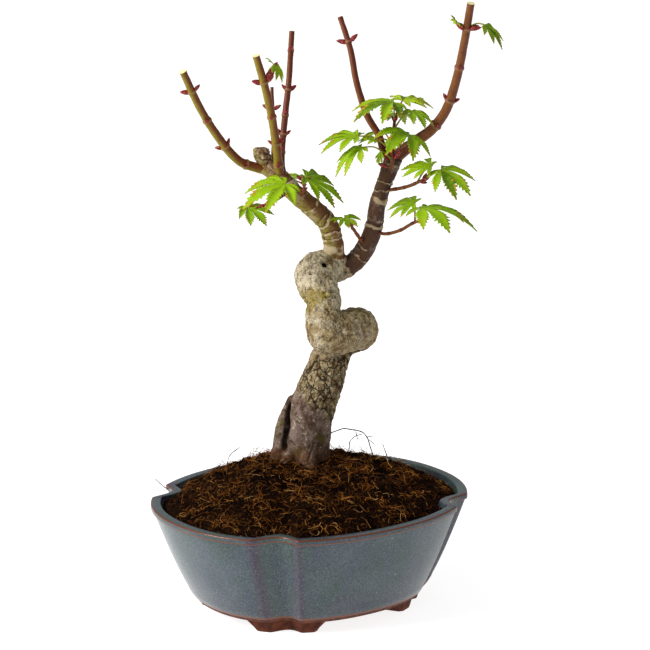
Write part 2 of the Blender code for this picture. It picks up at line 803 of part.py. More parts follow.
def bud_pairs(path, shares, first_sideways):
    """Opposite buds at each node, each pair turned a quarter from the one before."""
    buds = []
    for i, share in enumerate(shares):
        place, along, radius = path_point(path, share)
        sideways = along.cross(Vector((0, 1, 0))).normalized()
        facing = sideways.cross(along).normalized()
        out = sideways if (i % 2 == 0) == first_sideways else facing
        on_top = i + 1 == len(shares)
        lean = TOP_BUD_LEAN if on_top else BUD_LEAN
        for sign in (-1, 1):
            direction = (along * math.cos(lean) + out * (sign * math.sin(lean))).normalized()
            length = TOP_BUD_LENGTH if on_top else BUD_LENGTH
            buds.append(bud(place + out * (sign * radius * BUD_SEAT), direction, length))
    return buds


def build_shoots(boughs):
    shoots = {}
    for name, spec in SHOOTS.items():
        colour = (0.17, 0.2, 0.05) if name.startswith("left_m") or name.startswith("left_o") else (0.22, 0.09, 0.06)
        bark = make_material(name, colour, 0.5)
        path = smooth_path(spec["stations"], SHOOT_STEP)
        shoot = tube(name, add_nodes(path, spec["nodes"]), SHOOT_SIDES, bark)
        parts = bud_pairs(path, spec["nodes"], spec["first_sideways"])
        for owner, share, base, pose, *sizes in TIP_LEAVES:
            if owner == name:
                start, _, _ = path_point(path, share)
                parts.append(leaf(mm(base), pose, *sizes, TIP_LEAF_LOBES, random.Random(TIP_LEAF_SEED)))
                parts.append(stalk(start, mm(base)))
        join_all(shoot, parts)
        seat(shoot, boughs[spec["on"]], *shoots.values())
        shade(shoot, SOFT_EDGE)
        shoots[name] = shoot
    return shoots


# ---- leaves ----


def leaf_frame(heading, dip, roll):
    """A leaf's own axes: along its middle lobe, across, and out of its face."""
    turn = math.radians(heading)
    drop = math.radians(dip)
    tilt = math.radians(roll)
    along = Vector((math.cos(turn) * math.cos(drop), math.sin(turn) * math.cos(drop), -math.sin(drop)))
    level = UP.cross(along).normalized()
    face = along.cross(level)
    across = level * math.cos(tilt) + face * math.sin(tilt)
    return along, across, along.cross(across)


def leaf(base, pose, length, droop, spread, lobes, chance):
    """A thin closed palm of pointed lobes that hang down from its base."""
    along, across, face = leaf_frame(*pose)
    half = math.degrees(math.atan2(LOBE_HALF_WIDTH, LOBE_WAIST)) * min(1, spread)
    turns = [turn * spread for turn, _ in lobes]
    outline = []
    for i, (turn, (_, share)) in enumerate(zip(turns, lobes)):
        reach = share * chance.uniform(*LOBE_REACH)
        waist = reach * LOBE_WAIST
        outline.append((turn - half, waist))
        outline.append((turn, reach))
        outline.append((turn + half, waist))
        if i + 1 < len(lobes):
            outline.append(((turn + turns[i + 1]) / 2, CLEFT * (share + lobes[i + 1][1]) / 2))
    back = min(turns[-1] + BACK_TURN, BACK_LIMIT)
    outline.append((back, BACK_REACH))
    outline.append((-back, BACK_REACH))

    def place(turn, reach, side):
        angle = math.radians(turn)
        flat = along * (math.cos(angle) * reach) + across * (math.sin(angle) * reach)
        hung = flat - UP * (droop * reach * reach)
        return base + hung * length * MM + face * (side * LEAF_THICKNESS / 2)

    count = len(outline)
    points = []
    for side in (1, -1):
        points += [place(turn, reach, side) for turn, reach in outline]
        points.append(place(0, 0, side))
    faces = []
    for shift, hub, flip in ((0, count, False), (count + 1, 2 * count + 1, True)):
        for i in range(len(lobes)):
            first, tip, last = 4 * i + shift, 4 * i + 1 + shift, 4 * i + 2 + shift
            before = (4 * i - 1) % count + shift
            after = (4 * i + 3) % count + shift
            patch = [(hub, before, first), (hub, first, last), (first, tip, last), (hub, last, after)]
            faces += [list(reversed(f)) if flip else list(f) for f in patch]
        end = [hub, count - 2 + shift, count - 1 + shift]
        faces.append(list(reversed(end)) if flip else end)
    for i in range(count):
        after = (i + 1) % count
        faces.append([i, i + count + 1, after + count + 1, after])
    return make_object("leaf", points, faces)


def stalk(start, base):
    """A leaf's stalk: it arches up from the stem and ends just through the blade."""
    middle = start.lerp(base, STALK_BEND) + UP * (STALK_ARCH * (base - start).length)
    end = base + (base - middle).normalized() * STALK_END
    stations = [(*(p / MM), STALK_RADIUS / MM) for p in (start, middle, base, end)]
    return tube("stalk", smooth_path(stations, TWIG_STEP), STALK_SIDES)


def touches(thing, limbs):
    """Whether a leaf comes nearer than the clearance to any limb or finished mass."""
    mine = surface(thing)
    for other in limbs:
        theirs = surface(other)
        if mine.overlap(theirs):
            return True
        for vert in thing.data.vertices:
            _, _, _, distance = theirs.find_nearest(vert.co)
            if distance < CLEARANCE:
                return True
    return False


def build_mass(name, spec, limbs, done):
    """One foliage mass: a stem with leaves on arching stalks, all fused into one body."""
    green = make_material(name, (0.3, 0.45, 0.05), 0.55)
    chance = random.Random(spec["seed"])
    path = smooth_path(spec["stem"], TWIG_STEP)
    stem = tube(name, path, STEM_SIDES, green)
    others = list(limbs.values()) + done
    parts = []
    for share, base, pose, *sizes in spec["leaves"]:
        start, _, _ = path_point(path, share)
        blade = leaf(mm(base), pose, *sizes, LOBES, chance)
        shaft = stalk(start, mm(base))
        if touches(blade, others) or touches(shaft, others):
            print("left out of", name, "a leaf at", base)
            bpy.data.objects.remove(blade)
            bpy.data.objects.remove(shaft)
            continue
        parts += [blade, shaft]
    join_all(stem, parts, "MANIFOLD")  # EXACT leaves slivers where thin blades cross
    seat(stem, limbs[spec["on"]])
    shade(stem, SHARP_EDGE)
    return stem


def centre_on_base(things):
    """Moves everything so that the origin is the middle of its box, on the ground."""
    low = Vector((1e9, 1e9, 1e9))
    high = -low
    for thing in things:
        for vert in thing.data.vertices:
            low = Vector(map(min, low, vert.co))
            high = Vector(map(max, high, vert.co))
    shift = Vector((-(low.x + high.x) / 2, -(low.y + high.y) / 2, -low.z))
    for thing in things:
        thing.data.transform(Matrix.Translation(shift))
        thing.data.update()
    print("moved by", [round(v / MM, 2) for v in shift], "mm; size", [round(v / MM, 1) for v in high - low])


def main():
    clear_scene()
    pot = build_pot()
    soil = build_soil()
    trunk = build_trunk()
    limbs = {"trunk": trunk}
    limbs.update(build_boughs(trunk))
    limbs.update(build_shoots(limbs))
    masses = []
    for name, spec in MASSES.items():
        masses.append(build_mass(name, spec, limbs, masses))
    things = [pot, soil, *limbs.values(), *masses]
    centre_on_base(things)
    for thing in things:
        thing.data.calc_loop_triangles()
        print(thing.name, len(thing.data.loop_triangles), "triangles")


main()
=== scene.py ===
# The looks of the potted maple: glazed pot, fibrous soil, barked trunk, budding shoots and young leaves.
# Lengths are in millimetres from the pot's middle on its stand, X to the right, Y away, Z up.
import math
import random

import bmesh
import bpy
from mathutils import Matrix, Vector, noise


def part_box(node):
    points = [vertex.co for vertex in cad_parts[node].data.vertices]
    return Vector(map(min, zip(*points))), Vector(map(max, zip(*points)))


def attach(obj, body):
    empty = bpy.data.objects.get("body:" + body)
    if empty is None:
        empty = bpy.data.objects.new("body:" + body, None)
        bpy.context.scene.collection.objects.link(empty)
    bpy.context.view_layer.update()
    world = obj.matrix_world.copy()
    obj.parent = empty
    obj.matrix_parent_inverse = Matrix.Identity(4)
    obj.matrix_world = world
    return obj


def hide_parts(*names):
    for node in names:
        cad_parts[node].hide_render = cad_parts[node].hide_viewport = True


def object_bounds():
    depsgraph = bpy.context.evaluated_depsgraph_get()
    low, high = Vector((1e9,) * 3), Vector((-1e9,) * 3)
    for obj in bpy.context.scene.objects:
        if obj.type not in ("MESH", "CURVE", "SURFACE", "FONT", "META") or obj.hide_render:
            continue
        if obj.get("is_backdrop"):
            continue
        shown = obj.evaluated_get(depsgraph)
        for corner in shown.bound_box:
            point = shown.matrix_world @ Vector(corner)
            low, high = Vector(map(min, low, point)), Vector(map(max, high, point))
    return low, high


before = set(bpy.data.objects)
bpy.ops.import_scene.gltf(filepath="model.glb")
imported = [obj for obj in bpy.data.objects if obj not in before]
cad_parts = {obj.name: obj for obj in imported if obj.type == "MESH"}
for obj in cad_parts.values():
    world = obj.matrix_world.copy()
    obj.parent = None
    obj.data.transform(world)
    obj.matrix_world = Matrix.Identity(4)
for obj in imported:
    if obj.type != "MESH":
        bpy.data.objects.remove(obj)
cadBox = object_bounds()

mm = 0.001
up = Vector((0, 0, 1))
potLow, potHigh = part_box("pot")
potMiddle = Vector(((potLow.x + potHigh.x) / 2, (potLow.y + potHigh.y) / 2, 0))


def place(values):
    return Vector(values[:3]) * mm + potMiddle


def ease(low, high, value):
    share = min(1.0, max(0.0, (value - low) / (high - low)))
    return share * share * (3 - 2 * share)


def paint(red, green, blue):  # a screen colour of 0 to 255 as the linear colour a shader takes
    parts = [value / 255 for value in (red, green, blue)]
    return (*[p / 12.92 if p < 0.04 else ((p + 0.055) / 1.055) ** 2.4 for p in parts], 1)


# nodes as expressions

class Wire:  # a socket that takes part in sums
    def __init__(self, nodes, socket):
        self.nodes = nodes
        self.socket = socket

    def sum(self, operation, *values):
        return self.nodes.add("ShaderNodeMath", {"operation": operation}, dict(enumerate(values)))

    def out(self, name):
        return Wire(self.nodes, self.socket.node.outputs[name])

    def __add__(self, other):
        return self.sum("ADD", self, other)

    def __radd__(self, other):
        return self.sum("ADD", other, self)

    def __sub__(self, other):
        return self.sum("SUBTRACT", self, other)

    def __rsub__(self, other):
        return self.sum("SUBTRACT", other, self)

    def __mul__(self, other):
        return self.sum("MULTIPLY", self, other)

    def __rmul__(self, other):
        return self.sum("MULTIPLY", other, self)

    def __truediv__(self, other):
        return self.sum("DIVIDE", self, other)

    def __rtruediv__(self, other):
        return self.sum("DIVIDE", other, self)

    def __pow__(self, other):
        return self.sum("POWER", self, other)

    def __abs__(self):
        return self.sum("ABSOLUTE", self)


class Nodes:  # adds nodes to a material's or a modifier's tree
    def __init__(self, tree):
        self.tree = tree

    def add(self, kind, settings=None, sockets=None, out=0):
        node = self.tree.nodes.new(kind)
        for name, value in (settings or {}).items():
            setattr(node, name, value)
        for key, value in (sockets or {}).items():
            if isinstance(value, Wire):
                self.tree.links.new(value.socket, node.inputs[key])
            else:
                node.inputs[key].default_value = value
        return Wire(self, node.outputs[out])

    def split(self, vector):  # its parts are the outputs X, Y and Z
        return self.add("ShaderNodeSeparateXYZ", {}, {0: vector})


class Finish(Nodes):  # a material in a palette of screen colours, with the patterns that its maker calls for
    def __init__(self, name, paints, **constants):
        self.material = bpy.data.materials.new(name)
        self.material.use_nodes = True
        super().__init__(self.material.node_tree)
        self.paints = paints
        self.shader = self.tree.nodes["Principled BSDF"]
        for key, value in constants.items():
            self.shader.inputs[key.replace("_", " ")].default_value = value
        self.coords = self.add("ShaderNodeTexCoord", out="Object")

    def attribute(self, name):
        return self.add("ShaderNodeAttribute", {"attribute_name": name}, out="Fac")

    def height(self):
        return self.split(self.coords).out("Z")

    def stretched(self, scale, turn=(0, 0, 0)):
        return self.add("ShaderNodeMapping", {}, {"Vector": self.coords, "Scale": scale, "Rotation": turn})

    def cloud(self, size, detail=4, rough=0.55, coords=None):  # noise from 0 to 1, sized in millimetres
        sockets = {"Vector": coords or self.coords, "Scale": 1 / (size * mm), "Detail": detail,
                   "Roughness": rough}
        return self.add("ShaderNodeTexNoise", {}, sockets)

    def warped(self, size, amount, coords=None):  # coordinates that wander by up to an amount of millimetres
        moved = {0: self.cloud(size, 3).out("Color"), 1: (amount * mm,) * 3, 2: coords or self.coords}
        return self.add("ShaderNodeVectorMath", {"operation": "MULTIPLY_ADD"}, moved)

    def cells(self, size, coords=None, feature="F1"):
        sockets = {"Vector": coords or self.coords, "Scale": 1 / (size * mm)}
        return self.add("ShaderNodeTexVoronoi", {"feature": feature}, sockets, "Distance")

    def edges(self, size, coords):  # the distance from the lines between cells
        return self.cells(size, coords, "DISTANCE_TO_EDGE")

    def band(self, value, low, high):  # 0 at low and 1 at high, whichever of the two is the greater
        sockets = {"Value": value, "From Min": low, "From Max": high}
        return self.add("ShaderNodeMapRange", {"interpolation_type": "SMOOTHSTEP"}, sockets)

    def patches(self, low, high, *grain):  # the grain is a cloud's size, detail and roughness
        return self.band(self.cloud(*grain), low, high)

    def dots(self, size, low, high):  # round spots that fade in between two distances
        return self.band(self.cells(size), low, high)

    def ragged(self, value, amount, *grain):  # a value made uneven by a cloud
        return value + (self.cloud(*grain) - 0.5) * amount

    def mark(self, name, low, high, *amounts):  # a mask where an attribute is high, with an uneven edge
        return self.band(self.ragged(self.attribute(name), *amounts), low, high)

    def mix(self, share, first, second):  # of wires or of the names of paints
        ends = [paint(*self.paints[end]) if isinstance(end, str) else end for end in (first, second)]
        return self.add("ShaderNodeMix", {"data_type": "RGBA"}, {0: share, 6: ends[0], 7: ends[1]}, 2)

    def relief(self, height, depth, strength=1.0, below=None):
        sockets = {"Height": height, "Distance": depth * mm, "Strength": strength}
        if below:
            sockets["Normal"] = below
        return self.add("ShaderNodeBump", {}, sockets)

    def feed(self, **wires):
        for key, wire in wires.items():
            self.tree.links.new(wire.socket, self.shader.inputs[key.replace("_", " ")])
        return self.material


class Grower(Nodes):  # a Geometry Nodes tree with named inputs
    kinds = {"float": "Float", "int": "Int", "Collection": "Collection", "NoneType": "Material"}

    def __init__(self, name, inputs):
        super().__init__(bpy.data.node_groups.new(name, "GeometryNodeTree"))
        face = self.tree.interface
        face.new_socket("Geometry", in_out="INPUT", socket_type="NodeSocketGeometry")
        face.new_socket("Geometry", in_out="OUTPUT", socket_type="NodeSocketGeometry")
        self.values = dict(inputs)
        self.identifiers = {}
        for label, value in inputs.items():
            kind = "NodeSocket" + self.kinds[type(value).__name__]
            self.identifiers[label] = face.new_socket(label, in_out="INPUT", socket_type=kind).identifier
        self.group = self.tree.nodes.new("NodeGroupInput")
        self.geometry = self.input("Geometry")

    def input(self, label):
        return Wire(self, self.group.outputs[label])

    def read(self, name, kind="FLOAT"):
        return self.add("GeometryNodeInputNamedAttribute", {"data_type": kind}, {"Name": name})

    def store(self, geometry, name, value):
        return self.add("GeometryNodeStoreNamedAttribute", {}, {0: geometry, "Name": name, "Value": value})

    def instances(self, points, pick, turn, size):  # sets one of the things on each point
        things = self.add("GeometryNodeCollectionInfo", {}, {0: self.input("Things"), 1: True, 2: True})
        sockets = {0: points, 2: things, 3: True, 4: pick, 5: turn, 6: size}
        return self.add("GeometryNodeInstanceOnPoints", {}, sockets)

    def finish(self, geometry):
        real = self.add("GeometryNodeRealizeInstances", {}, {0: geometry})
        dressed = self.add("GeometryNodeSetMaterial", {}, {0: real, "Material": self.input("Material")})
        output = self.tree.nodes.new("NodeGroupOutput")
        self.tree.links.new(dressed.socket, output.inputs[0])

    def grow(self, thing, values):  # runs the tree on a thing and leaves the result as its plain mesh
        modifier = thing.modifiers.new(self.tree.name, "NODES")
        modifier.node_group = self.tree
        for label, value in {**self.values, **values}.items():
            modifier[self.identifiers[label]] = value
        bakeModifiers(thing)
        return thing


def bakeModifiers(thing):
    graph = bpy.context.evaluated_depsgraph_get()
    live = thing.evaluated_get(graph)
    result = bpy.data.meshes.new_from_object(live, preserve_all_data_layers=True, depsgraph=graph)
    thing.modifiers.clear()
    old = thing.data
    thing.data = result
    bpy.data.meshes.remove(old)
    result.name = thing.name


def show(name, data):
    thing = bpy.data.objects.new(name, data)
    bpy.context.scene.collection.objects.link(thing)
    return thing


def addMesh(name, points, faces, edges=(), materials=()):
    mesh = bpy.data.meshes.new(name)
    mesh.from_pydata([tuple(p) for p in points], edges, faces)
    for material in materials:
        mesh.materials.append(material)
    return show(name, mesh)


def addShares(mesh, name, values, kind="FLOAT"):
    field = "vector" if kind == "FLOAT_VECTOR" else "value"
    mesh.attributes.new(name, kind, "POINT").data.foreach_set(field, values)


def ringFaces(rings, count):  # the quads between rings of points
    faces = []
    for i in range(rings - 1):
        for k in range(count):
            a, b = i * count + k, i * count + (k + 1) % count
            faces.append([a, b, b + count, a + count])
    return faces


def endFaces(rings, count):  # flat ends for the same rings
    return [list(range(count))[::-1], [(rings - 1) * count + k for k in range(count)]]


def faceOut(thing, merge=0.0):  # merges doubles where asked, then turns all faces outwards
    work = bmesh.new()
    work.from_mesh(thing.data)
    if merge:
        bmesh.ops.remove_doubles(work, verts=work.verts, dist=merge)
    bmesh.ops.recalc_face_normals(work, faces=work.faces)
    work.to_mesh(thing.data)
    work.free()


def joinThings(name, things):
    bpy.ops.object.select_all(action="DESELECT")
    for thing in things:
        thing.select_set(True)
    bpy.context.view_layer.objects.active = things[0]
    bpy.ops.object.join()
    things[0].name = name
    things[0].data.name = name
    return things[0]


def growSeeds(grower, thing, seeds, values):  # runs a tree on hidden seed shapes, which go afterwards
    group = bpy.data.collections.new(thing.name + "Seeds")
    for seed in seeds:
        for owner in list(seed.users_collection):
            owner.objects.unlink(seed)
        group.objects.link(seed)
    grower.grow(thing, {**values, "Things": group})
    for seed in seeds:
        bpy.data.objects.remove(seed)
    bpy.data.collections.remove(group)
    return thing


def handOver(thing, nodes=()):
    thing.data.shade_smooth()
    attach(thing, "root")
    if nodes:
        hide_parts(*nodes)
    print("  ", thing.name, len(thing.data.polygons), "faces")


# paths

def smoothPath(stations, step):  # places and radii along a smooth curve through a limb's stations
    places = [place(s) for s in stations]
    radii = [s[3] * mm for s in stations]
    at = [0.0]
    for a, b in zip(places, places[1:]):
        at.append(at[-1] + (b - a).length)

    def slope(values, i):
        low, high = max(i - 1, 0), min(i + 1, len(values) - 1)
        return (values[high] - values[low]) / (at[high] - at[low])

    def between(values, i, s):
        span = at[i + 1] - at[i]
        first = values[i] * (2 * s**3 - 3 * s**2 + 1) + slope(values, i) * span * (s**3 - 2 * s**2 + s)
        return first + values[i + 1] * (3 * s**2 - 2 * s**3) + slope(values, i + 1) * span * (s**3 - s**2)

    path = []
    for i in range(len(places) - 1):
        count = max(1, round((at[i + 1] - at[i]) / (step * mm)))
        path += [(between(places, i, k / count), between(radii, i, k / count)) for k in range(count)]
    return path + [(places[-1], radii[-1])]


def pathLengths(path):
    at = [0.0]
    for (a, _), (b, _) in zip(path, path[1:]):
        at.append(at[-1] + (b - a).length)
    return at


def pathPoint(path, share):  # the place, direction and radius at a share of a path's length
    at = pathLengths(path)
    i = 0
    while i < len(at) - 2 and at[i + 1] < share * at[-1]:
        i += 1
    s = (share * at[-1] - at[i]) / (at[i + 1] - at[i])
    along = (path[i + 1][0] - path[i][0]).normalized()
    return path[i][0].lerp(path[i + 1][0], s), along, path[i][1] * (1 - s) + path[i + 1][1] * s


def buildTubeGrower():  # a round skin along the edges of a mesh, as thick as its radius attribute says
    grower = Grower("tube skin", {"Sides": 12, "Material": None})
    curve = grower.add("GeometryNodeMeshToCurve", {}, {0: grower.geometry})
    circle = {"Resolution": grower.input("Sides"), "Radius": 1.0}
    ring = grower.add("GeometryNodeCurvePrimitiveCircle", {}, circle)
    sockets = {0: curve, 1: ring, "Scale": grower.read("radius"), "Fill Caps": True}
    grower.finish(grower.add("GeometryNodeCurveToMesh", {}, sockets))
    return grower


def growTubes(name, paths, sides, material):  # a tube along each path of places and radii
    points, edges, shares = [], [], {"radius": [], "tone": []}
    for number, path in enumerate(paths):
        for i, (spot, radius) in enumerate(path):
            if i:
                edges.append((len(points) - 1, len(points)))
            points.append(spot)
            shares["radius"].append(radius)
            shares["tone"].append(number * 0.618 % 1)  # differs from tube to tube
    thing = addMesh(name, points, [], edges)
    for label, values in shares.items():
        addShares(thing.data, label, values)
    return tubeGrower.grow(thing, {"Sides": sides, "Material": material})


def carve(thing, relief):  # moves a bark mesh's points along their normals and stores what shows
    mesh = thing.data
    shares = {}
    normals = [Vector(v.normal) for v in mesh.vertices]
    for vert, normal in zip(mesh.vertices, normals):
        push, marks = relief((vert.co - potMiddle) / mm, normal)
        vert.co += normal * push * mm
        for name, value in marks.items():
            shares.setdefault(name, []).append(value)
    for name, values in shares.items():
        addShares(mesh, name, values)
    mesh.update()


tubeGrower = buildTubeGrower()
noThings = bpy.data.collections.new("none")


# pot

potShape = {"Half length": 85.0, "Half width": 72.4, "Fullness": 2.18,
            "Notch angle": math.radians(41.8), "Notch half width": 11.6, "Notch depth": 7.4}
potBuild = {"turn": 35.7, "height": 57.7, "wall": 5.3, "floor": 6, "base": 6, "baseScale": 0.715,
            "bulge": 0.78, "rimBand": 3, "rimEase": 0.8, "clayStrip": 2.5, "drain": 8, "steps": 560,
            "wallRows": 26, "footHalfLength": 21, "footWidth": 9, "footSteps": 40, "footBevel": 0.2}
potPaint = {"blue": (52, 66, 77), "green": (52, 72, 66), "grey": (70, 80, 88),
            "purple": (60, 42, 64), "deep": (18, 23, 30), "speck": (104, 120, 124),
            "break": (98, 48, 18), "clay": (104, 54, 34), "clayDark": (66, 31, 19),
            "chip": (170, 170, 140)}
rimBreak = [0.4, 0.9, 1, 1, 1, 0.9, 0.4]  # how thin the glaze is round the outer edge of the flat top
footLevels = [  # height, share of the length, inset
    (0, 0.8, 3.3), (0.25, 0.815, 2.8), (0.8, 0.83, 2.5), (2, 0.87, 2.1), (4, 0.97, 1.5), (6, 1.08, 0.9),
    (8, 1.12, 1.2)]


def either(operation, plain, *values):  # one sum for numbers and for sockets
    return values[0].sum(operation, *values) if isinstance(values[0], Wire) else plain(*values)


def cosOf(value):
    return either("COSINE", math.cos, value)


def sinOf(value):
    return either("SINE", math.sin, value)


def atMostOne(value):
    return either("MINIMUM", min, value, 1.0)


def ovalRadius(cosine, sine, length, width, fullness):
    return ((cosine / length) ** fullness + (sine / width) ** fullness) ** (-1 / fullness)


def notchShare(angle, sizes):  # 0 in the middle of the nearest notch, 1 at its corners
    *oval, notchAngle, notchHalf, _ = sizes
    folded = either("ARCTAN2", math.atan2, abs(sinOf(angle)), abs(cosOf(angle)))
    reach = ovalRadius(cosOf(notchAngle), sinOf(notchAngle), *oval)
    return abs(folded - notchAngle) * reach / notchHalf


def rimRadius(angle, sizes):  # the rim's outline with its four notches
    *oval, _, _, depth = sizes
    plain = ovalRadius(abs(cosOf(angle)), abs(sinOf(angle)), *oval)
    return plain - depth * cosOf(atMostOne(notchShare(angle, sizes)) * (math.pi / 2))


def potPoint(angle, radius, height):
    turned = angle + math.radians(potBuild["turn"])
    return place((radius * math.cos(turned), radius * math.sin(turned), height))


def wallScale(height):
    share = max(0.0, (height - potBuild["base"]) / (potBuild["height"] - potBuild["base"]))
    return potBuild["baseScale"] + (1 - potBuild["baseScale"]) * share ** potBuild["bulge"]


def potProfile():  # the wall's section: (share of the rim's radius, inset, height, glaze break, bare clay)
    p = potBuild
    top, foot, soft = p["height"], p["base"], p["rimEase"]
    floor, bandFoot, glazeFoot = foot + p["floor"], top - p["rimBand"], foot + p["clayStrip"]
    glazeFull = glazeFoot + 0.6  # above the roll of glaze at its foot
    rows = [(0, -p["drain"], foot, 0, 1), (0.5, 0, foot, 0, 1), (p["baseScale"] * 0.98, 0.4, foot, 0, 1),
            (wallScale(foot + 0.5), 0, foot + 0.5, 0, 1),
            (wallScale(glazeFoot - 0.5), 0, glazeFoot - 0.5, 0.3, 1),
            (wallScale(glazeFoot), -0.15, glazeFoot, 1, 0.4), (wallScale(glazeFull), -0.25, glazeFull, 1, 0)]
    for k in range(1, p["wallRows"] + 1):
        height = glazeFoot + 0.6 + (bandFoot - glazeFoot - 1.2) * k / p["wallRows"]
        rows.append((wallScale(height), -0.25 if k < 3 else 0, height, 0, 0))
    rows += [(wallScale(bandFoot), 0.15, bandFoot - 0.25, 0.5, 0), (1, soft * 0.8, bandFoot, 0.9, 0)]
    for k in range(5):  # the band's lower edge
        turn = math.radians(90 * k / 4)
        height = bandFoot + soft * 0.7 * (1 - math.cos(turn))
        rows.append((1, soft * (1 - math.sin(turn)) * 0.7, height, 1, 0))
    rows += [(1, -0.05, bandFoot + 0.9, 0.5, 0), (1, -0.1, bandFoot + p["rimBand"] * 0.5, 0, 0)]
    for k, thin in enumerate(rimBreak):  # over to the flat top
        turn = math.radians(90 * k / 6)
        rows.append((1, soft * (1 - math.cos(turn)), top - soft * (1 - math.sin(turn)), thin, 0))
    rows += [(1, p["wall"] * share, top + 0.1, 0, 0) for share in (0.3, 0.5, 0.7)]
    for k in range(6):  # down into the pot
        turn = math.radians(90 * k / 5)
        inset = p["wall"] - soft * 0.8 * (1 - math.sin(turn))
        height = top - soft * 0.8 * (1 - math.cos(turn))
        rows.append((1, inset, height, 0.4 * math.sin(2 * turn) ** 2, 0))
    for share in (0.05, 0.12, 0.3, 0.6, 1):
        height = top + (foot + p["floor"] - top) * share
        rows.append((wallScale(height), p["wall"], height, 0, 1 if share > 0.5 else 0))
    return rows + [(0.5, 0, floor, 0, 1), (0, -p["drain"], floor, 0, 1), (0, -p["drain"], foot, 0, 1)]


def buildPotGrower(rows):  # carries the wall's section round the notched oval
    inputs = {"Steps": potBuild["steps"], "Rows": rows, "Turn": math.radians(potBuild["turn"]), **potShape}
    grower = Grower("notched oval pot", {**inputs, "Material": None})
    sizes = [grower.input(label) for label in potShape]
    count = grower.input("Rows")
    grid = {"Size X": 1.0, "Size Y": 1.0, "Vertices X": grower.input("Steps") + 1, "Vertices Y": count}
    sheet = grower.add("GeometryNodeMeshGrid", {}, grid)
    spot = grower.split(grower.add("GeometryNodeInputPosition"))
    angle = (spot.out("X") + 0.5) * (2 * math.pi)
    level = (spot.out("Y") + 0.5) * (count - 1)
    row = level.sum("ROUND", level)

    def sampled(value, kind="FLOAT"):
        settings = {"data_type": kind, "domain": "POINT"}
        return grower.add("GeometryNodeSampleIndex", settings, {0: grower.geometry, 1: value, 2: row})

    section = grower.split(sampled(grower.add("GeometryNodeInputPosition"), "FLOAT_VECTOR"))
    radius = rimRadius(angle, sizes) * section.out("X") - section.out("Y")
    turned = angle + grower.input("Turn")
    spots = {0: radius * cosOf(turned) * mm + potMiddle.x, 1: radius * sinOf(turned) * mm + potMiddle.y,
             2: section.out("Z") * mm}
    corner = 1 - abs(notchShare(angle, sizes) - 1) / 0.4
    marks = {name: sampled(grower.read(name)) for name in ("glazeBreak", "bare")}
    marks["corner"] = corner.sum("MAXIMUM", corner, 0.0)
    for name, value in marks.items():  # while the sheet is still flat
        sheet = grower.store(sheet, name, value)
    bent = grower.add("ShaderNodeCombineXYZ", {}, spots)
    wall = grower.add("GeometryNodeSetPosition", {}, {0: sheet, 2: bent})
    grower.finish(grower.add("GeometryNodeMergeByDistance", {}, {0: wall, "Distance": 0.00001}))
    return grower


def glazeFinish():
    f = Finish("crackled blue glaze", potPaint, Coat_Roughness=0.12, Specular_IOR_Level=0.25)
    streaks = f.cloud(14, 3, coords=f.stretched((1, 1, 0.35)))
    body = f.mix(f.band(streaks, 0.35, 0.62), "blue", "green")
    body = f.mix(f.patches(0.42, 0.7, 30, 2), body, "grey")
    purple = f.attribute("corner") * 0.85 + (1 - f.band(f.height(), 0.008, 0.03)) * 0.25
    body = f.mix(purple + f.patches(0.5, 0.75, 22, 3) * 0.3, body, "purple")
    grain = f.cloud(0.8, 3, 0.75)
    body = f.mix(f.band(grain, 0.52, 0.68) * 0.6, body, "speck")
    body = f.mix(f.band(grain, 0.5, 0.34) * 0.75, body, "deep")
    body = f.mix(f.dots(2.6, 0.18, 0.06) * 0.6, body, "deep")
    body = f.mix(f.dots(4.5, 0.07, 0.03) * 0.5, body, "chip")
    body = f.mix(f.dots(9, 0.055, 0.03) * 0.8, body, "chip")
    worn = f.mark("glazeBreak", 0.55, 0.85, 0.5, 3, 3)
    body = f.mix(worn, body, "break")
    clay = f.mix(f.patches(0.35, 0.7, 4, 5), "clayDark", "clay")
    bare = f.mark("bare", 0.45, 0.6, 0.3, 5, 3)
    rough = 0.22 + f.cloud(2, 4) * 0.16 + worn * 0.1
    bump = f.relief(f.cloud(1.6, 4), 0.05, 0.5, f.relief(f.cloud(9, 2), 0.35, 0.35))
    return f.feed(Base_Color=f.mix(bare, body, clay), Roughness=rough + bare * 0.45,
                  Coat_Weight=0.35 - bare * 0.35, Normal=bump)


def clayFinish():
    f = Finish("bare red clay", potPaint, Specular_IOR_Level=0.15)
    clay = f.mix(f.patches(0.35, 0.7, 5, 5), "clayDark", "clay")
    clay = f.mix(f.dots(1.4, 0.2, 0.1) * 0.5, clay, "clayDark")
    bump = f.relief(f.cloud(0.8, 5, 0.7), 0.12, 0.6)
    return f.feed(Base_Color=clay, Roughness=0.62 + f.cloud(2) * 0.25, Normal=bump)


def footMesh(index):  # one foot, longer where it leaves the pot than where it stands
    p, count = potBuild, potBuild["footSteps"]
    *oval, notchAngle, _, _ = sizes = list(potShape.values())
    centre = (1, -1, 1, -1)[index] * notchAngle + (0, math.pi, math.pi, 0)[index]
    reach = ovalRadius(math.cos(notchAngle), math.sin(notchAngle), *oval) * p["baseScale"]
    half = p["footHalfLength"] / reach
    points = []
    for height, length, inset in footLevels:
        line = []
        for k in range(count + 1):
            share = 2 * k / count - 1
            angle = centre + share * half * length
            rounding = 1.6 * max(0.0, abs(share) - 0.9) / 0.1
            line.append((angle, rimRadius(angle, sizes) * p["baseScale"] - inset - rounding))
        back = [(a, r - p["footWidth"] + (2.6 - inset) * 0.5) for a, r in reversed(line)]
        points += [potPoint(a, r, height) for a, r in line + back]
    rings = (len(footLevels), 2 * (count + 1))
    return addMesh("foot", points, endFaces(*rings) + ringFaces(*rings))


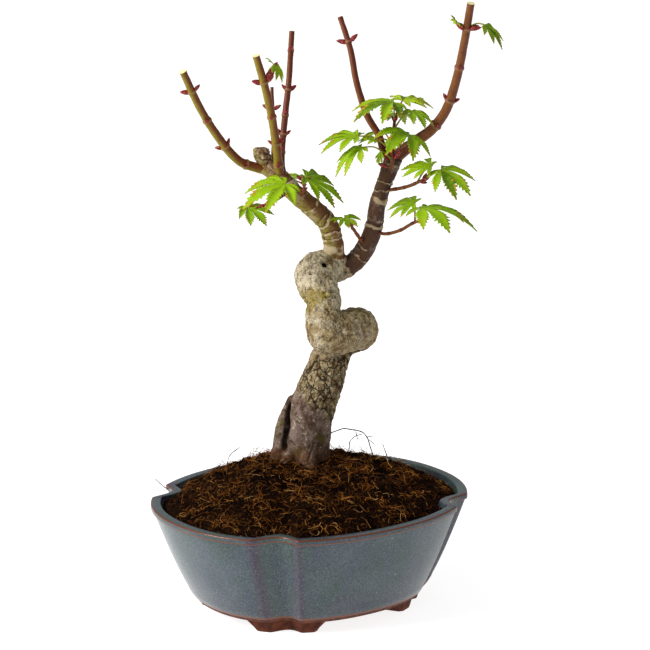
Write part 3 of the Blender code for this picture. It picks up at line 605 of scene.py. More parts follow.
def buildPot():
    rows = potProfile()
    wall = addMesh("potBody", [row[:3] for row in rows], [])
    addShares(wall.data, "glazeBreak", [row[3] for row in rows])
    addShares(wall.data, "bare", [row[4] for row in rows])
    buildPotGrower(len(rows)).grow(wall, {"Material": glazeFinish()})
    faceOut(wall)
    handOver(wall, ["pot"])
    feet = joinThings("potFeet", [footMesh(i) for i in range(4)])
    feet.data.materials.append(clayFinish())
    faceOut(feet)
    bevel = feet.modifiers.new("soft edges", "BEVEL")
    bevel.width = potBuild["footBevel"] * mm
    bakeModifiers(feet)
    handOver(feet)
    print("pot")


buildPot()


# soil

soilShape = {"edge": 55, "peak": 73.7, "seat": 0.3, "footX": -4, "footY": 16, "lumps": 1.2, "rings": 70,
             "steps": 300, "gaps": 0.3, "floorGap": 0.3, "wallGap": 0.4, "levels": (30, 48), "seed": 41}
fibreShape = {"kinds": 16, "steps": 7, "length": (4, 10), "thickness": (0.1, 0.2), "smallest": 0.5,
              "largest": 1.2, "tilt": 0.42, "sides": 3, "firstSeed": 3}
rootShape = {"step": 0.8, "sides": 6, "lumps": 0.12}
crumbKinds = 8
crumbShape = {"Density": 60000.0, "Seed": 9, "Smallest": 0.25, "Largest": 0.95, "Tilt": 3.0}
soilFibres = {  # density to a square metre, length scale, tones
    "dark": (130000, 1.0, (34, 17, 7), (70, 37, 14)),
    "rust": (290000, 1.0, (90, 48, 15), (144, 84, 28)),
    "gold": (230000, 0.85, (138, 88, 32), (188, 130, 60)),
    "straw": (22000, 1.3, (150, 100, 50), (204, 156, 96)),
}
soilPaint = {"black": (3, 1, 1), "brown": (22, 10, 4), "rust": (56, 30, 12)}
soilRoots = [  # thin roots that arch clear of the soil, as places and radii
    [(10.6, 24, 84.6, 0.3), (14.1, 24, 85.9, 0.3), (17.9, 24, 87.1, 0.3), (21.9, 23, 86.8, 0.3),
     (25.9, 22, 86.4, 0.28), (28.5, 21, 85.3, 0.28), (30.6, 20, 82.4, 0.28), (31.5, 19, 79.5, 0.28),
     (33.2, 18, 74.5, 0.28)],
    [(24.2, 22, 86, 0.2), (25.2, 20, 82.2, 0.18)], [(38.4, 20, 79.7, 0.18), (41.2, 18, 72.3, 0.22)],
    [(27.5, 21, 84.9, 0.22), (23.5, 19, 84.1, 0.2), (20.9, 17, 81.5, 0.2), (20.7, 15, 78.7, 0.18),
     (18.8, 12, 74, 0.18)],
    [(-37, 20, 78.1, 0.18), (-42.4, 14, 74.9, 0.2), (-43.8, 10, 69, 0.2)],
    [(34, 19, 84.5, 0.15), (29.8, 20.5, 83.4, 0.2)],
    [(-82, 20, 60.5, 0.16), (-77.8, 18, 57.2, 0.2), (-73, 16, 54.5, 0.2)],
    [(30.4, 20, 82.6, 0.2), (33.8, 19, 80.2, 0.14)],
    [(10, 9, 79, 0.35), (16, 4, 76.5, 0.3), (24, 2, 74.5, 0.3), (31, 4, 71.5, 0.25)],
    [(-3, -4, 74.2, 0.3), (-2, -16, 72.6, 0.35), (2, -27, 70.5, 0.3), (5, -36, 66.8, 0.3),
     (4, -44, 63.2, 0.25)],
    [(-12, 2, 77, 0.4), (-18, -5, 74.2, 0.3), (-22, -14, 71.5, 0.25)]]


def soilHeight(point, share):  # level under the trunk, then down to the rim, fuller in front than behind
    s = soilShape
    fall = max(0.0, (share - s["seat"]) / (1 - s["seat"]))
    away = Vector((point.x - s["footX"], point.y - s["footY"]))
    fullness = 1.5 - 0.5 * away.y / max(away.length, 0.001)
    height = s["edge"] + (s["peak"] - s["edge"]) * (1 - fall ** fullness)
    metres = point / 1000
    lumps = noise.noise(metres * 90) * 0.6 + noise.noise(metres * 220) * 0.4
    height += s["lumps"] * lumps * (4 * fall * (1 - fall) + 0.5 * (1 - fall))
    clods = noise.fractal(point * 0.17, 0.8, 2.1, 4) * 2.0 + noise.fractal(point * 0.8, 0.9, 2, 3) * 0.45
    return height + clods * (0.4 + 0.6 * min(1, (1 - share) * 6))


def soilFinish():
    f = Finish("peat", soilPaint, Specular_IOR_Level=0.03)
    base = f.mix(f.patches(0.36, 0.6, 6, 6, 0.7), "black", "brown")
    base = f.mix(f.patches(0.5, 0.65, 1.2, 5, 0.7) * 0.8, base, "rust")
    base = f.mix(f.patches(0.5, 0.35, 16, 3) * 0.6, base, "black")
    bump = f.relief(f.cloud(0.9, 6, 0.8), 0.8)
    return f.feed(Base_Color=base, Roughness=0.85 + f.cloud(3) * 0.15, Normal=bump)


def fibreFinish(name, dull, lit):
    f = Finish(name + " fibre", {"dull": dull, "lit": lit, **soilPaint}, Specular_IOR_Level=0.06)
    colour = f.mix(f.patches(0.35, 0.65, 7, 2), "dull", "lit")
    colour = f.mix(f.patches(0.5, 0.4, 13, 4, 0.6) * 0.6, colour, "brown")
    return f.feed(Base_Color=colour, Roughness=0.7 + f.cloud(3) * 0.2)


def curlyFibre(chance, material):
    length, thick = chance.uniform(*fibreShape["length"]), chance.uniform(*fibreShape["thickness"])
    heading, climb, bend = chance.uniform(-0.5, 0.5), chance.uniform(-0.1, 0.3), chance.uniform(-0.9, 0.9)
    spot, steps, path = Vector((0, 0, -0.2)), fibreShape["steps"], []
    for k in range(steps):
        path.append((spot * mm, thick * mm * (1 - 0.6 * k / steps)))
        heading += bend * chance.uniform(0.2, 1.4) + chance.uniform(-0.3, 0.3)
        climb = max(-0.6, min(0.6, climb + chance.uniform(-0.45, 0.25)))
        spot = spot + Vector((math.cos(heading), math.sin(heading), math.sin(climb))) * length / steps
    return growTubes("fibre", [path], fibreShape["sides"], material)


def crumb(chance):
    work = bmesh.new()
    bmesh.ops.create_icosphere(work, subdivisions=1, radius=mm)
    for vert in work.verts:
        vert.co *= chance.uniform(0.6, 1.3)
    mesh = bpy.data.meshes.new("crumb")
    work.to_mesh(mesh)
    work.free()
    return bpy.data.objects.new("crumb", mesh)


def buildScatterGrower():  # strews things over the part of a surface marked top
    inputs = {"Density": 1.0, "Seed": 1, "Smallest": 0.7, "Largest": 1.2, "Tilt": 0.35, "Things": noThings}
    grower = Grower("scatter", {**inputs, "Material": None})
    seed, tilt = grower.input("Seed"), grower.input("Tilt")
    spread = {0: grower.geometry, "Density": grower.input("Density") * grower.read("top"), "Seed": seed}
    dots = grower.add("GeometryNodeDistributePointsOnFaces", {}, spread)

    def chance(low, high, offset, kind="FLOAT"):
        first, second, out = {"FLOAT": (2, 3, 1), "INT": (4, 5, 2)}[kind]
        sockets = {first: low, second: high, "Seed": seed + offset}
        return grower.add("FunctionNodeRandomValue", {"data_type": kind}, sockets, out)

    lean = {0: chance(-1.0, 1.0, 7) * tilt, 1: chance(-1.0, 1.0, 8) * tilt, 2: chance(0.0, 2 * math.pi, 9)}
    euler = grower.add("FunctionNodeEulerToRotation", {}, {0: grower.add("ShaderNodeCombineXYZ", {}, lean)})
    both = {0: dots.out("Rotation"), 1: euler}
    turn = grower.add("FunctionNodeRotateRotation", {"rotation_space": "LOCAL"}, both)
    size = chance(grower.input("Smallest"), grower.input("Largest"), 3)
    grower.finish(grower.instances(dots, chance(0, 9999, 5, "INT"), turn, size))
    return grower


def scatter(name, surface, seeds, values, material):
    thing = addMesh(name, [], [])
    thing.data = surface.data.copy()
    return growSeeds(scatterGrower, thing, seeds, {**values, "Material": material})


def soilMesh():
    s, sizes, steps = soilShape, list(potShape.values()), soilShape["steps"]
    floor = potBuild["base"] + potBuild["floor"] + s["floorGap"]
    middle = Vector((s["footX"], s["footY"], s["edge"]))
    turn = math.radians(potBuild["turn"])

    def inner(height):  # a ring along the inside of the pot's wall
        for angle in (2 * math.pi * k / steps for k in range(steps)):
            radius = rimRadius(angle, sizes) * wallScale(height) - potBuild["wall"] - s["wallGap"]
            yield Vector((radius * math.cos(angle + turn), radius * math.sin(angle + turn), height))

    points = [p for height in (floor, *s["levels"]) for p in inner(height)]
    tops = [0.0] * len(points)
    edge = list(inner(s["edge"]))
    for i in range(s["rings"]):
        share = 1 - i / s["rings"]
        for p in edge:
            spot = middle.lerp(p, share)
            points.append(Vector((spot.x, spot.y, soilHeight(spot, share))))
            strewn = s["gaps"] + ease(-0.2, 0.3, noise.noise(points[-1] * 0.09))
            tops.append(strewn if share < 0.985 else 0.0)
    points.append(Vector((middle.x, middle.y, s["peak"])))
    tops.append(1.0)
    rings = s["rings"] + len(s["levels"]) + 1
    faces = endFaces(rings, steps)[:1] + ringFaces(rings, steps)
    last = (rings - 1) * steps
    faces += [[last + k, last + (k + 1) % steps, len(points) - 1] for k in range(steps)]
    soil = addMesh("soilBed", [place(p) for p in points], faces, materials=[soilFinish()])
    addShares(soil.data, "top", tops)
    return soil


def buildSoil():
    soil, finishes, shape, chance = soilMesh(), {}, fibreShape, random.Random(soilShape["seed"])
    for number, (name, (density, size, *tones)) in enumerate(soilFibres.items()):
        finish = finishes[name] = fibreFinish(name, *tones)
        seeds = [curlyFibre(chance, finish) for _ in range(shape["kinds"])]
        values = {"Density": float(density), "Seed": shape["firstSeed"] + number, "Tilt": shape["tilt"],
                  "Smallest": shape["smallest"] * size, "Largest": shape["largest"] * size}
        handOver(scatter(name + "Fibres", soil, seeds, values, finish))
    paths = [smoothPath(stations, rootShape["step"]) for stations in soilRoots]
    roots = growTubes("strayRoots", paths, rootShape["sides"], finishes["dark"])
    carve(roots, lambda p, normal: (rootShape["lumps"] * noise.noise(p * 0.6), {}))
    handOver(roots)
    crumbs = [crumb(chance) for _ in range(crumbKinds)]
    handOver(scatter("soilCrumbs", soil, crumbs, crumbShape, soil.data.materials[0]))
    handOver(soil, ["soil"])
    print("soil")


scatterGrower = buildScatterGrower()
buildSoil()


# trunk

trunkStations = [
    (-2.4, 16, 66, 13.0), (-2.0, 16, 79, 12.6), (-0.3, 16, 94, 12.4), (3.3, 15, 107, 11.9),
    (7.9, 15, 119, 10.9), (11.0, 17, 128.5, 10.2), (16.0, 21, 136, 9.4), (24.3, 21, 140.5, 10.7),
    (23.6, 10, 145.5, 10.8), (17.0, 1, 145.5, 11.1), (9.9, -3, 146.1, 11.2), (7.0, -1, 153.5, 9.3),
    (7.5, 4, 161.7, 8.8), (4.1, 9, 168.5, 10.5), (3.5, 13, 173.7, 11.0), (8.5, 18, 177, 8.7),
    (13.1, 20, 178, 7.2)]
trunkRoots = [  # heading, reach, height where it leaves, radius, flare
    (188, 12.4, 104, 5.2, 0.5), (232, 15, 88, 4.2, 1.3), (283, 18, 87, 4.6, 1.3), (335, 12, 85, 4.5, 1.3),
    (35, 13.6, 91, 4.9, 1.3), (95, 17, 90, 5.0, 1.3), (140, 17, 95, 5.0, 1.1)]
collars = [[(8.5, 18, 174, 7), (13.0, 18.6, 176.5, 6.5), (12.7, 18, 181.5, 5.7)],
           [(8.5, 19, 173.5, 7), (14, 20.5, 173.8, 6.4), (18.8, 21, 175.6, 5.7)]]
barkShape = {"step": 1.5, "voxel": 0.5, "easePasses": 7, "plateFoot": 111.8, "plateSlope": 0.83,
             "knotFrom": 129, "knotFull": 134, "lumps": 0.5, "lumpSize": 9, "plateDepth": 0.6,
             "wrinkleDepth": 0.9, "rough": 0.6, "roughSize": 3.2, "scar": (7.6, 6.5, 180.0),
             "scarRadius": 2.3, "scarDepth": 2.6, "lichen": (3, 3, 161), "lichenFrom": 7, "lichenTo": 15}
grooves = [  # from, to, half width, depth, all on the trunk's front
    ((-11.2, 4, 107), (-13.6, 4, 78), 1.9, 3.0), ((10.5, 5, 104), (12.5, 5, 80), 1.0, 0.9),
    ((3.5, 4, 86), (-1.5, 4, 75), 0.9, 0.8), ((7.4, 4, 176.3), (16.7, 8, 173.8), 0.7, 1.0)]
# some of these paint light and shade: umber, tan and pit as painted shade in the bark's hollows and creases,
# slab and beige as painted highlight on its bumps, crack as painted shade in the grooves and creases, hole
# as painted shade in the scar's hollow
barkPaint = {"base": (128, 108, 98), "baseDark": (74, 54, 40), "beige": (168, 150, 114),
             "slab": (154, 136, 102), "tan": (136, 114, 76), "crack": (20, 12, 5), "lichen": (146, 126, 34),
             "moss": (98, 98, 22), "white": (206, 194, 168), "umber": (100, 76, 44), "pitAndShade": (44, 30, 14),
             "rust": (82, 50, 24), "hole": (16, 10, 8), "soil": soilPaint["brown"]}


def rootStations(heading, reach, height, radius, flare):
    turn = math.radians(heading)
    stations = []
    for share in (0, 0.35, 0.7, 1, 1.25):  # the last lies in the soil
        out = 5 + (reach - 5) * share ** flare
        down = height + (soilShape["peak"] - 3 - height) * share
        spot = (soilShape["footX"] + out * math.cos(turn), soilShape["footY"] + out * math.sin(turn), down)
        stations.append((*spot, radius * (0.7 + 0.3 * min(1, share))))
    return stations


def crackShare(spot, width):  # 1 in the cracks between plates
    near, further = noise.voronoi(spot)[0][:2]
    return 1 - ease(width * 0.25, width, further - near)


def wrinkleShare(spot, width):  # 1 along lines that wander like creases
    return 1 - ease(width * 0.3, width, abs(noise.noise(spot)))


def segmentDistance(point, start, end):
    line = end - start
    share = max(0.0, min(1.0, (point - start).dot(line) / line.length_squared))
    return (point - start - line * share).length, share


def barkRelief(p, normal):  # how far the bark stands out at a place in millimetres, and what shows there
    b = barkShape
    wander = Vector([noise.noise(p * 0.13 + up * shift) for shift in (0, 9, -7)]) * 3
    plateFoot = b["plateFoot"] - b["plateSlope"] * (p.x + 5.7) + 2.5 * noise.noise(p * 0.3)
    knotted = ease(b["knotFrom"], b["knotFull"], p.z + 3.5 * noise.noise(p * 0.25))
    plated = ease(plateFoot - 2.5, plateFoot + 1.5, p.z) * (1 - knotted)
    leaning = Vector((p.x - 0.35 * p.z, p.y, p.z * 0.62)) + wander * 0.3
    plates = max(crackShare(leaning * 0.16, 0.1), 0.5 * crackShare(leaning * 0.36 + up * 5, 0.12))
    rough = noise.fractal(p / b["roughSize"], 0.75, 2.2, 5)
    lumpy = noise.noise(p / b["lumpSize"])
    turning = Vector((p.x * 0.24 + p.z * 0.12, p.y * 0.3, p.z * 0.2 - p.x * 0.1)) + wander * 0.15
    creases = max(wrinkleShare(turning, 0.05), 0.7 * wrinkleShare(turning * 2.3 + up * 3, 0.08))
    creases *= ease(0.25, 0.65, 0.5 + noise.noise(p * 0.11))
    # this mark holds the plates' cracks, which are dark bark, and the knob's creases, which are painted
    # shade
    crack = plated * plates + knotted * creases * 0.45
    push = b["lumps"] * lumpy + b["rough"] * rough * (0.35 + 0.4 * plated + 0.65 * knotted)
    push -= plated * plates * b["plateDepth"] + knotted * creases * b["wrinkleDepth"]
    # the grooves are carved and painted dark inside: painted shade
    dark = 0.0
    for start, end, halfWidth, depth in grooves:
        start, end = Vector(start), Vector(end)
        spot = Vector((p.x + 0.8 * noise.noise(p * 0.2), start.y, p.z))
        distance, share = segmentDistance(spot, start, end)
        if normal.y < 0.2 and p.y < 17:
            inside = (1 - ease(0, halfWidth, distance)) * ease(0, 0.12, share) * ease(0, 0.12, 1 - share)
            push -= depth * inside
            dark = max(dark, inside * min(1.0, depth / 1.5))
    # the scar is a hollow, painted near black inside as shade
    far = (p - Vector(b["scar"])).length / b["scarRadius"]
    hole = 1 - ease(0.5, 1, far)
    push += 0.7 * (ease(0.9, 1.3, far) - ease(1.3, 2, far)) - hole * b["scarDepth"]
    olive = 1 - ease(b["lichenFrom"], b["lichenTo"], (p - Vector(b["lichen"])).length)
    # high is the relief's height, which the finish uses to paint shade into the hollows and highlight onto
    # the bumps
    return push, {"crack": min(1, crack), "groove": dark, "hole": hole, "plated": plated, "knotted": knotted,
                  "olive": olive, "high": 0.5 + 0.6 * rough + 0.15 * lumpy}


def trunkFinish():
    f = Finish("trunk bark", barkPaint, Specular_IOR_Level=0.12)
    fine, height = f.cloud(0.8, 5, 0.75), f.height()
    plated, knotted = f.attribute("plated"), f.attribute("knotted")
    # painted shade and highlight: the bark is darker where its relief is low and paler where it is high
    high = f.attribute("high") + (fine - 0.5) * 0.8
    smooth = f.mix(f.patches(0.38, 0.62, 6, 6, 0.7), "baseDark", "base")
    smooth = f.mix(f.patches(0.55, 0.68, 3.5, 5, 0.75) * 0.55, smooth, "white")
    smooth = f.mix(f.patches(0.5, 0.66, 11, 5, 0.7) * 0.45, smooth, "moss")
    smooth = f.mix(f.band(fine, 0.5, 0.35) * 0.45, smooth, "pitAndShade")
    # the plates are umber in their hollows and slab on their bumps: painted shade and highlight
    plate = f.mix(f.band(high, 0.2, 0.7), "umber", "slab")
    plate = f.mix(f.patches(0.52, 0.66, 3, 5, 0.8) * 0.55, plate, "white")
    # the knob is tan in its hollows and beige on its bumps: painted shade and highlight
    knot = f.mix(f.band(high, 0.25, 0.6), "tan", "beige")
    chalky = f.cloud(8, 6, 0.75) + f.band(height, 0.15, 0.175) * 0.1
    knot = f.mix(f.band(chalky, 0.48, 0.62) * 0.75, knot, "white")
    knot = f.mix(f.patches(0.56, 0.7, 5, 6, 0.8) * 0.45, knot, "umber")
    streaks = f.cloud(7, 6, 0.7, f.warped(9, 9, f.stretched((1.5, 1.5, 0.5), (0.2, 0.5, 0))))
    knot = f.mix(f.band(streaks, 0.52, 0.38) * 0.65, knot, "umber")
    olive = f.attribute("olive") * 0.9 + f.patches(0.5, 0.7, 14, 3) * 0.35
    knot = f.mix(f.band(f.ragged(olive, 1.3, 1.6, 5, 0.8), 0.5, 1.0) * 0.7, knot, "lichen")
    knot = f.mix(f.band(f.ragged(olive, 1.5, 2.2, 5, 0.8), 0.85, 1.2) * 0.6, knot, "moss")
    colour = f.mix(knotted, f.mix(plated, smooth, plate), knot)
    leaning = f.warped(3, 1.3, f.stretched((1, 1, 0.6), (0, -0.33, 0)))
    wide, narrow = f.edges(4.6, leaning), f.edges(1.9, leaning)
    cracks = f.band(wide, 0.06, 0.025) + f.band(narrow, 0.1, 0.03) * f.patches(0.42, 0.54, 5, 3) * 0.8
    colour = f.mix(atMostOne(cracks * plated) * 0.9, colour, "crack")
    folds = f.edges(4.5, f.warped(7, 11, f.stretched((1.3, 1.3, 0.8))))
    # painted shade: the knob's folds are darkened
    creases = f.band(folds, 0.07, 0.015) * f.patches(0.44, 0.56, 5, 4, 0.7) * knotted
    colour = f.mix(creases * 0.65, colour, "pitAndShade")
    small = f.edges(1.7, f.warped(4, 6, f.stretched((0.8, 1, 1.3), (0, 0.5, 0))))
    web = f.band(small, 0.12, 0.02) * f.patches(0.45, 0.6, 7, 4) * knotted
    colour = f.mix(web * 0.35, colour, "umber")
    # thin dark wrinkle lines over the knob: painted shade
    flow = f.cloud(9, 4, 0.6, f.warped(8, 6, f.stretched((1.4, 1.4, 0.6), (0.3, 0.6, 0))))
    for level in (0.38, 0.46, 0.54, 0.62):
        line = f.band(flow, level - 0.011, level) * f.band(flow, level + 0.011, level)
        colour = f.mix(line * f.patches(0.4, 0.55, 4, 4) * knotted * 0.75, colour, "pitAndShade")
    pits = f.band(f.cells(1.3, f.warped(2, 1)), 0.34, 0.14) * f.patches(0.44, 0.56, 4, 3)
    colour = f.mix(pits * 0.5, colour, "pitAndShade")
    # painted shade: the relief's hollows are darkened further
    colour = f.mix(f.band(high, 0.25, 0.0) * 0.6, colour, "pitAndShade")
    # the dark plate cracks are bark colour; the knob's creases in the same mark are painted shade
    cracked = f.attribute("crack") + (fine - 0.5) * 0.4
    colour = f.mix(f.band(cracked, 0.3, 0.9) * 0.35, colour, "crack")
    # painted shade inside the grooves
    colour = f.mix(f.attribute("groove") * 0.85, colour, "crack")
    # painted shade: the scar's hollow is near black
    colour = f.mix(f.band(f.attribute("hole"), 0.2, 0.6), colour, "hole")
    stain = f.ragged((1 - f.band(height, 0.073, 0.09)) * 0.9, 2.2, 5, 6, 0.75)
    colour = f.mix(f.band(stain, 0.3, 0.8) * 0.65, colour, "rust")
    colour = f.mix(f.band(stain, 0.8, 1.2) * 0.8, colour, "soil")
    bump = f.relief(folds, 1.0, 0.5, f.relief(small, 0.5, 0.5))
    bump = f.relief(fine, 0.35, 0.8, f.relief(f.cloud(2.2, 5, 0.7), 0.8, 0.6, bump))
    bump = f.relief(f.band(wide, 0, 0.1) * plated, 0.5, 0.6, bump)
    return f.feed(Base_Color=colour, Roughness=0.75 + f.cloud(1.5) * 0.2, Normal=bump)


def buildTrunk():
    work = bmesh.new()
    for stations in [trunkStations, *collars, *[rootStations(*root) for root in trunkRoots]]:
        for spot, radius in smoothPath(stations, barkShape["step"]):
            bmesh.ops.create_icosphere(work, subdivisions=3, radius=radius, matrix=Matrix.Translation(spot))
    trunk = addMesh("trunkBark", [], [])
    work.to_mesh(trunk.data)
    work.free()
    fuse = trunk.modifiers.new("fuse", "REMESH")
    fuse.mode = "VOXEL"
    fuse.voxel_size = barkShape["voxel"] * mm
    soft = trunk.modifiers.new("ease", "SMOOTH")
    soft.factor = 0.5
    soft.iterations = barkShape["easePasses"]
    bakeModifiers(trunk)
    carve(trunk, barkRelief)
    trunk.data.materials.append(trunkFinish())
    handOver(trunk, ["trunk"])
    print("trunk")


buildTrunk()


# boughs

boughs = {
    "left": {"node": "left_bough", "stations": [
        (13.2, 19, 174, 5.7), (12.6, 18, 182, 5.5), (12.1, 16, 191, 5.1), (9.0, 13, 200.9, 5.1),
        (1.1, 9, 209.9, 5.0), (-7.5, 6, 218.1, 4.75), (-14.7, 5, 226.2, 4.4), (-22.4, 6, 232.3, 4.3)]},
    "right": {"node": "right_bough", "stations": [
        (13.0, 20.5, 173.5, 5.7), (18.4, 21, 175.2, 5.5), (24.6, 20, 180, 5.3), (29.8, 18, 188, 5.0),
        (33.3, 16, 198.5, 4.6), (35.3, 14, 211.2, 4.25), (38.4, 13, 221.4, 4.1), (41.6, 12, 230.5, 4.4),
        (43.4, 12, 235.5, 4.6)]}}
boughShape = {"step": 0.55, "sides": 48, "stumpStep": 0.5, "stumpSides": 36, "ringReach": 10}
boughRings = {  # share of the length, half width, strength, lean
    "left": [(0.06, 1.6, 0.7, 0.3), (0.18, 3.2, 0.75, 0.1), (0.27, 0.4, 1.0, 0.1), (0.32, 0.25, 0.9, 0.15),
             (0.41, 0.6, 0.9, -0.3), (0.46, 0.3, 0.8, -0.1), (0.57, 0.5, 0.7, 0.2), (0.78, 2.8, 0.8, 0),
             (0.88, 0.5, 0.7, 0.2), (0.97, 2.0, 0.5, 0)],
    "right": [(0.08, 1.5, 0.8, 0.2), (0.22, 0.4, 0.7, 0.3), (0.32, 0.3, 0.7, -0.4), (0.48, 1.0, 1, 0.9),
              (0.53, 0.3, 0.7, 0.8), (0.68, 1.8, 0.8, 0.3), (0.76, 0.3, 0.8, -0.3), (0.82, 0.35, 0.9, 0.1),
              (0.95, 0.8, 0.7, 0.1)]}
stumpStations = [(-20.5, 6.5, 229.5, 3.6), (-23, 7.8, 234.5, 3.9), (-24.4, 8.2, 238.2, 4.3),
                 (-24.8, 8.4, 240.6, 3.8), (-24.8, 8.4, 241.4, 2.7)]
# dark also serves as painted shade in the creases beside the rings and in the stump
boughPaint = {
    "left": {"shade": (132, 116, 44), "sun": (104, 64, 34), "ring": (194, 174, 142),
             "grey": (178, 158, 128), "dark": (46, 30, 18)},
    "right": {"shade": (80, 52, 30), "sun": (64, 39, 28), "ring": (168, 148, 116),
              "grey": (120, 104, 96), "dark": (28, 16, 10)}}
sunSide = Vector((0.55, -0.15, 0.8)).normalized()


def boughFinish(name):
    f = Finish(name + " bough bark", boughPaint[name], Specular_IOR_Level=0.2)
    colour = f.mix(f.mark("sun", -0.3, 0.45, 1.3, 5, 5, 0.7), "shade", "sun")
    colour = f.mix(f.patches(0.5, 0.62, 9, 3) * f.patches(0.42, 0.62, 1.8, 5, 0.75) * 0.75, colour, "grey")
    colour = f.mix(f.dots(1.3, 0.24, 0.1) * f.patches(0.45, 0.6, 6, 2) * 0.6, colour, "dark")
    colour = f.mix(f.patches(0.46, 0.34, 2.6, 5, 0.75) * 0.6, colour, "dark")
    colour = f.mix(f.mark("ring", 0.3, 0.7, 0.9, 1.2, 4, 0.7) * 0.85, colour, "ring")
    # painted shade: the creases beside the rings and in the stump are darkened
    colour = f.mix(f.mark("crease", 0.4, 0.8, 0.4, 1, 3) * 0.8, colour, "dark")
    bump = f.relief(f.cloud(0.8, 5, 0.7), 0.16, 0.7, f.relief(f.cloud(2.4, 3), 0.3, 0.5))
    return f.feed(Base_Color=colour, Roughness=0.5 + f.cloud(2) * 0.25, Normal=bump)


def limbRelief(rings):  # pale scars of old buds round a bough, some wide, some fine, over fine ridges, with painted shade in a crease beside each
    def relief(p, normal):
        ring = crease = 0.0
        drift = 1.6 * noise.noise(p * 0.22) + 0.7 * noise.noise(p * 0.7)
        patchy = 0.75 + 0.9 * noise.noise(p * 0.3 + up * 4)
        for centre, along, halfWidth, strength, lean in rings:
            offset = (p - centre).dot((along + Vector((0.5, 0, 1)) * lean).normalized()) + drift
            if (p - centre).length < boughShape["ringReach"]:
                shown = strength * patchy * (1 - ease(halfWidth * 0.6, halfWidth + 0.6, abs(offset)))
                ring = max(ring, shown)
                crease = max(crease, strength * (1 - ease(0.1, 0.45, abs(offset - halfWidth - 0.6))))
        fine = noise.fractal(p * 0.8, 0.8, 2.1, 3)
        push = 0.4 * ring - 0.3 * crease + 0.2 * fine + 0.35 * noise.noise(p * 0.2)
        return push, {"ring": min(1, ring), "crease": crease, "sun": normal.dot(sunSide)}
    return relief


def stumpRelief(p, normal):
    # the stump's creases are carved and also painted dark: painted shade
    creases = wrinkleShare(p * 0.45, 0.12)
    push = 0.9 * noise.fractal(p * 0.5, 0.7, 2, 4) - 0.6 * creases
    pale = (0.42 + 0.35 * noise.noise(p * 0.8)) * ease(231, 235, p.z + 1.5 * noise.noise(p * 0.5))
    return push, {"ring": pale, "crease": creases * 0.8, "sun": normal.dot(sunSide)}


def buildBoughs():
    for name, bough in boughs.items():
        path = smoothPath(bough["stations"], boughShape["step"])
        finish = boughFinish(name)
        limb = growTubes(name + "Bough", [path], boughShape["sides"], finish)
        rings = []
        for share, *sizes in boughRings[name]:
            spot, along, _ = pathPoint(path, share)
            rings.append(((spot - potMiddle) / mm, along, *sizes))
        carve(limb, limbRelief(rings))
        if name == "left":
            path = smoothPath(stumpStations, boughShape["stumpStep"])
            stump = growTubes("stump", [path], boughShape["stumpSides"], finish)
            carve(stump, stumpRelief)
            limb = joinThings(limb.name, [limb, stump])
        handOver(limb, [bough["node"]])
    print("boughs")


buildBoughs()


# shoots

shoots = {
    "left_outer_shoot": {"tone": "green", "nodes": [0.17, 0.37, 0.6, 0.84], "stations": [
        (-20.0, 6, 230.2, 2.6), (-26.5, 6, 231.2, 2.55), (-36.6, 3, 236.0, 2.35),
        (-47.6, -3, 250.7, 2.15), (-55.9, -9, 266.3, 2.0), (-63.7, -16, 285.3, 1.9)]},
    "left_middle_shoot": {"tone": "green", "nodes": [0.12, 0.29, 0.5, 0.78], "stations": [
        (-14.6, 4, 226, 2.4), (-15.6, 2, 231, 2.35), (-16.9, -1, 244, 2.25), (-19.6, -5, 262.5, 2.1),
        (-23.0, -9, 278.4, 2.0), (-26.9, -13, 292.9, 1.85)]},
    "left_back_shoot": {"tone": "red", "nodes": [0.19, 0.31, 0.44, 0.61, 0.87], "stations": [
        (-13.2, 7, 226, 1.8), (-14.4, 12.5, 232, 1.75), (-14.2, 17, 240, 1.7), (-12.5, 23, 257.2, 1.65),
        (-10.7, 28, 273.1, 1.55), (-9.2, 34, 297.7, 1.45)]},
    "left_thin_shoot": {"tone": "red", "nodes": [0.75], "sideways": True, "stations": [
        (-18.6, 6.5, 229.5, 1.15), (-18.8, 13, 235, 1.05), (-18.7, 19, 246, 1.0),
        (-19.5, 27, 269.6, 0.9)]},
    "right_inner_shoot": {"tone": "red", "nodes": [0.37, 0.83], "stations": [
        (41.8, 11.5, 234, 2.0), (38.2, 10, 239, 1.95), (35.6, 12, 247, 1.85), (29.5, 16, 257, 1.8),
        (24.4, 21, 272.3, 1.7), (20.8, 27, 290, 1.55), (15.7, 33, 305.1, 1.45)]},
    "right_outer_shoot": {"tone": "red", "nodes": [0.29, 0.45, 0.64, 0.86], "stations": [
        (43.2, 12, 234.5, 3.3), (47.5, 12.5, 238.4, 3.3), (54.2, 12, 243.7, 3.0), (63.3, 9, 251.5, 2.75),
        (70.2, 5, 262.7, 2.5), (75.0, 0, 279.6, 2.3), (78.2, -5, 297.4, 2.1), (81.2, -11, 319.2, 1.95)]}}
shootPaint = {
    "green": {"shade": (130, 114, 20), "sun": (106, 50, 14), "scar": (140, 108, 64), "deep": (66, 42, 6)},
    "red": {"shade": (116, 70, 24), "sun": (94, 40, 22), "scar": (136, 100, 70), "deep": (52, 22, 10)}}
cutPaint = {"pith": (232, 226, 168), "rim": (188, 180, 96)}
shootShape = {"step": 0.6, "sides": 20, "nodeLength": 1.5, "swell": 1.16, "seed": 5}
budShape = {"side": (4.4, 46), "top": (5.6, 62), "seat": 0.7, "width": 0.235, "sides": 10, "rings": 9,
            "kinds": 3, "seed": 8}  # side and top buds are a length and a lean
budPaint = {"deep": (84, 14, 20), "red": (146, 38, 44), "edge": (190, 122, 96)}


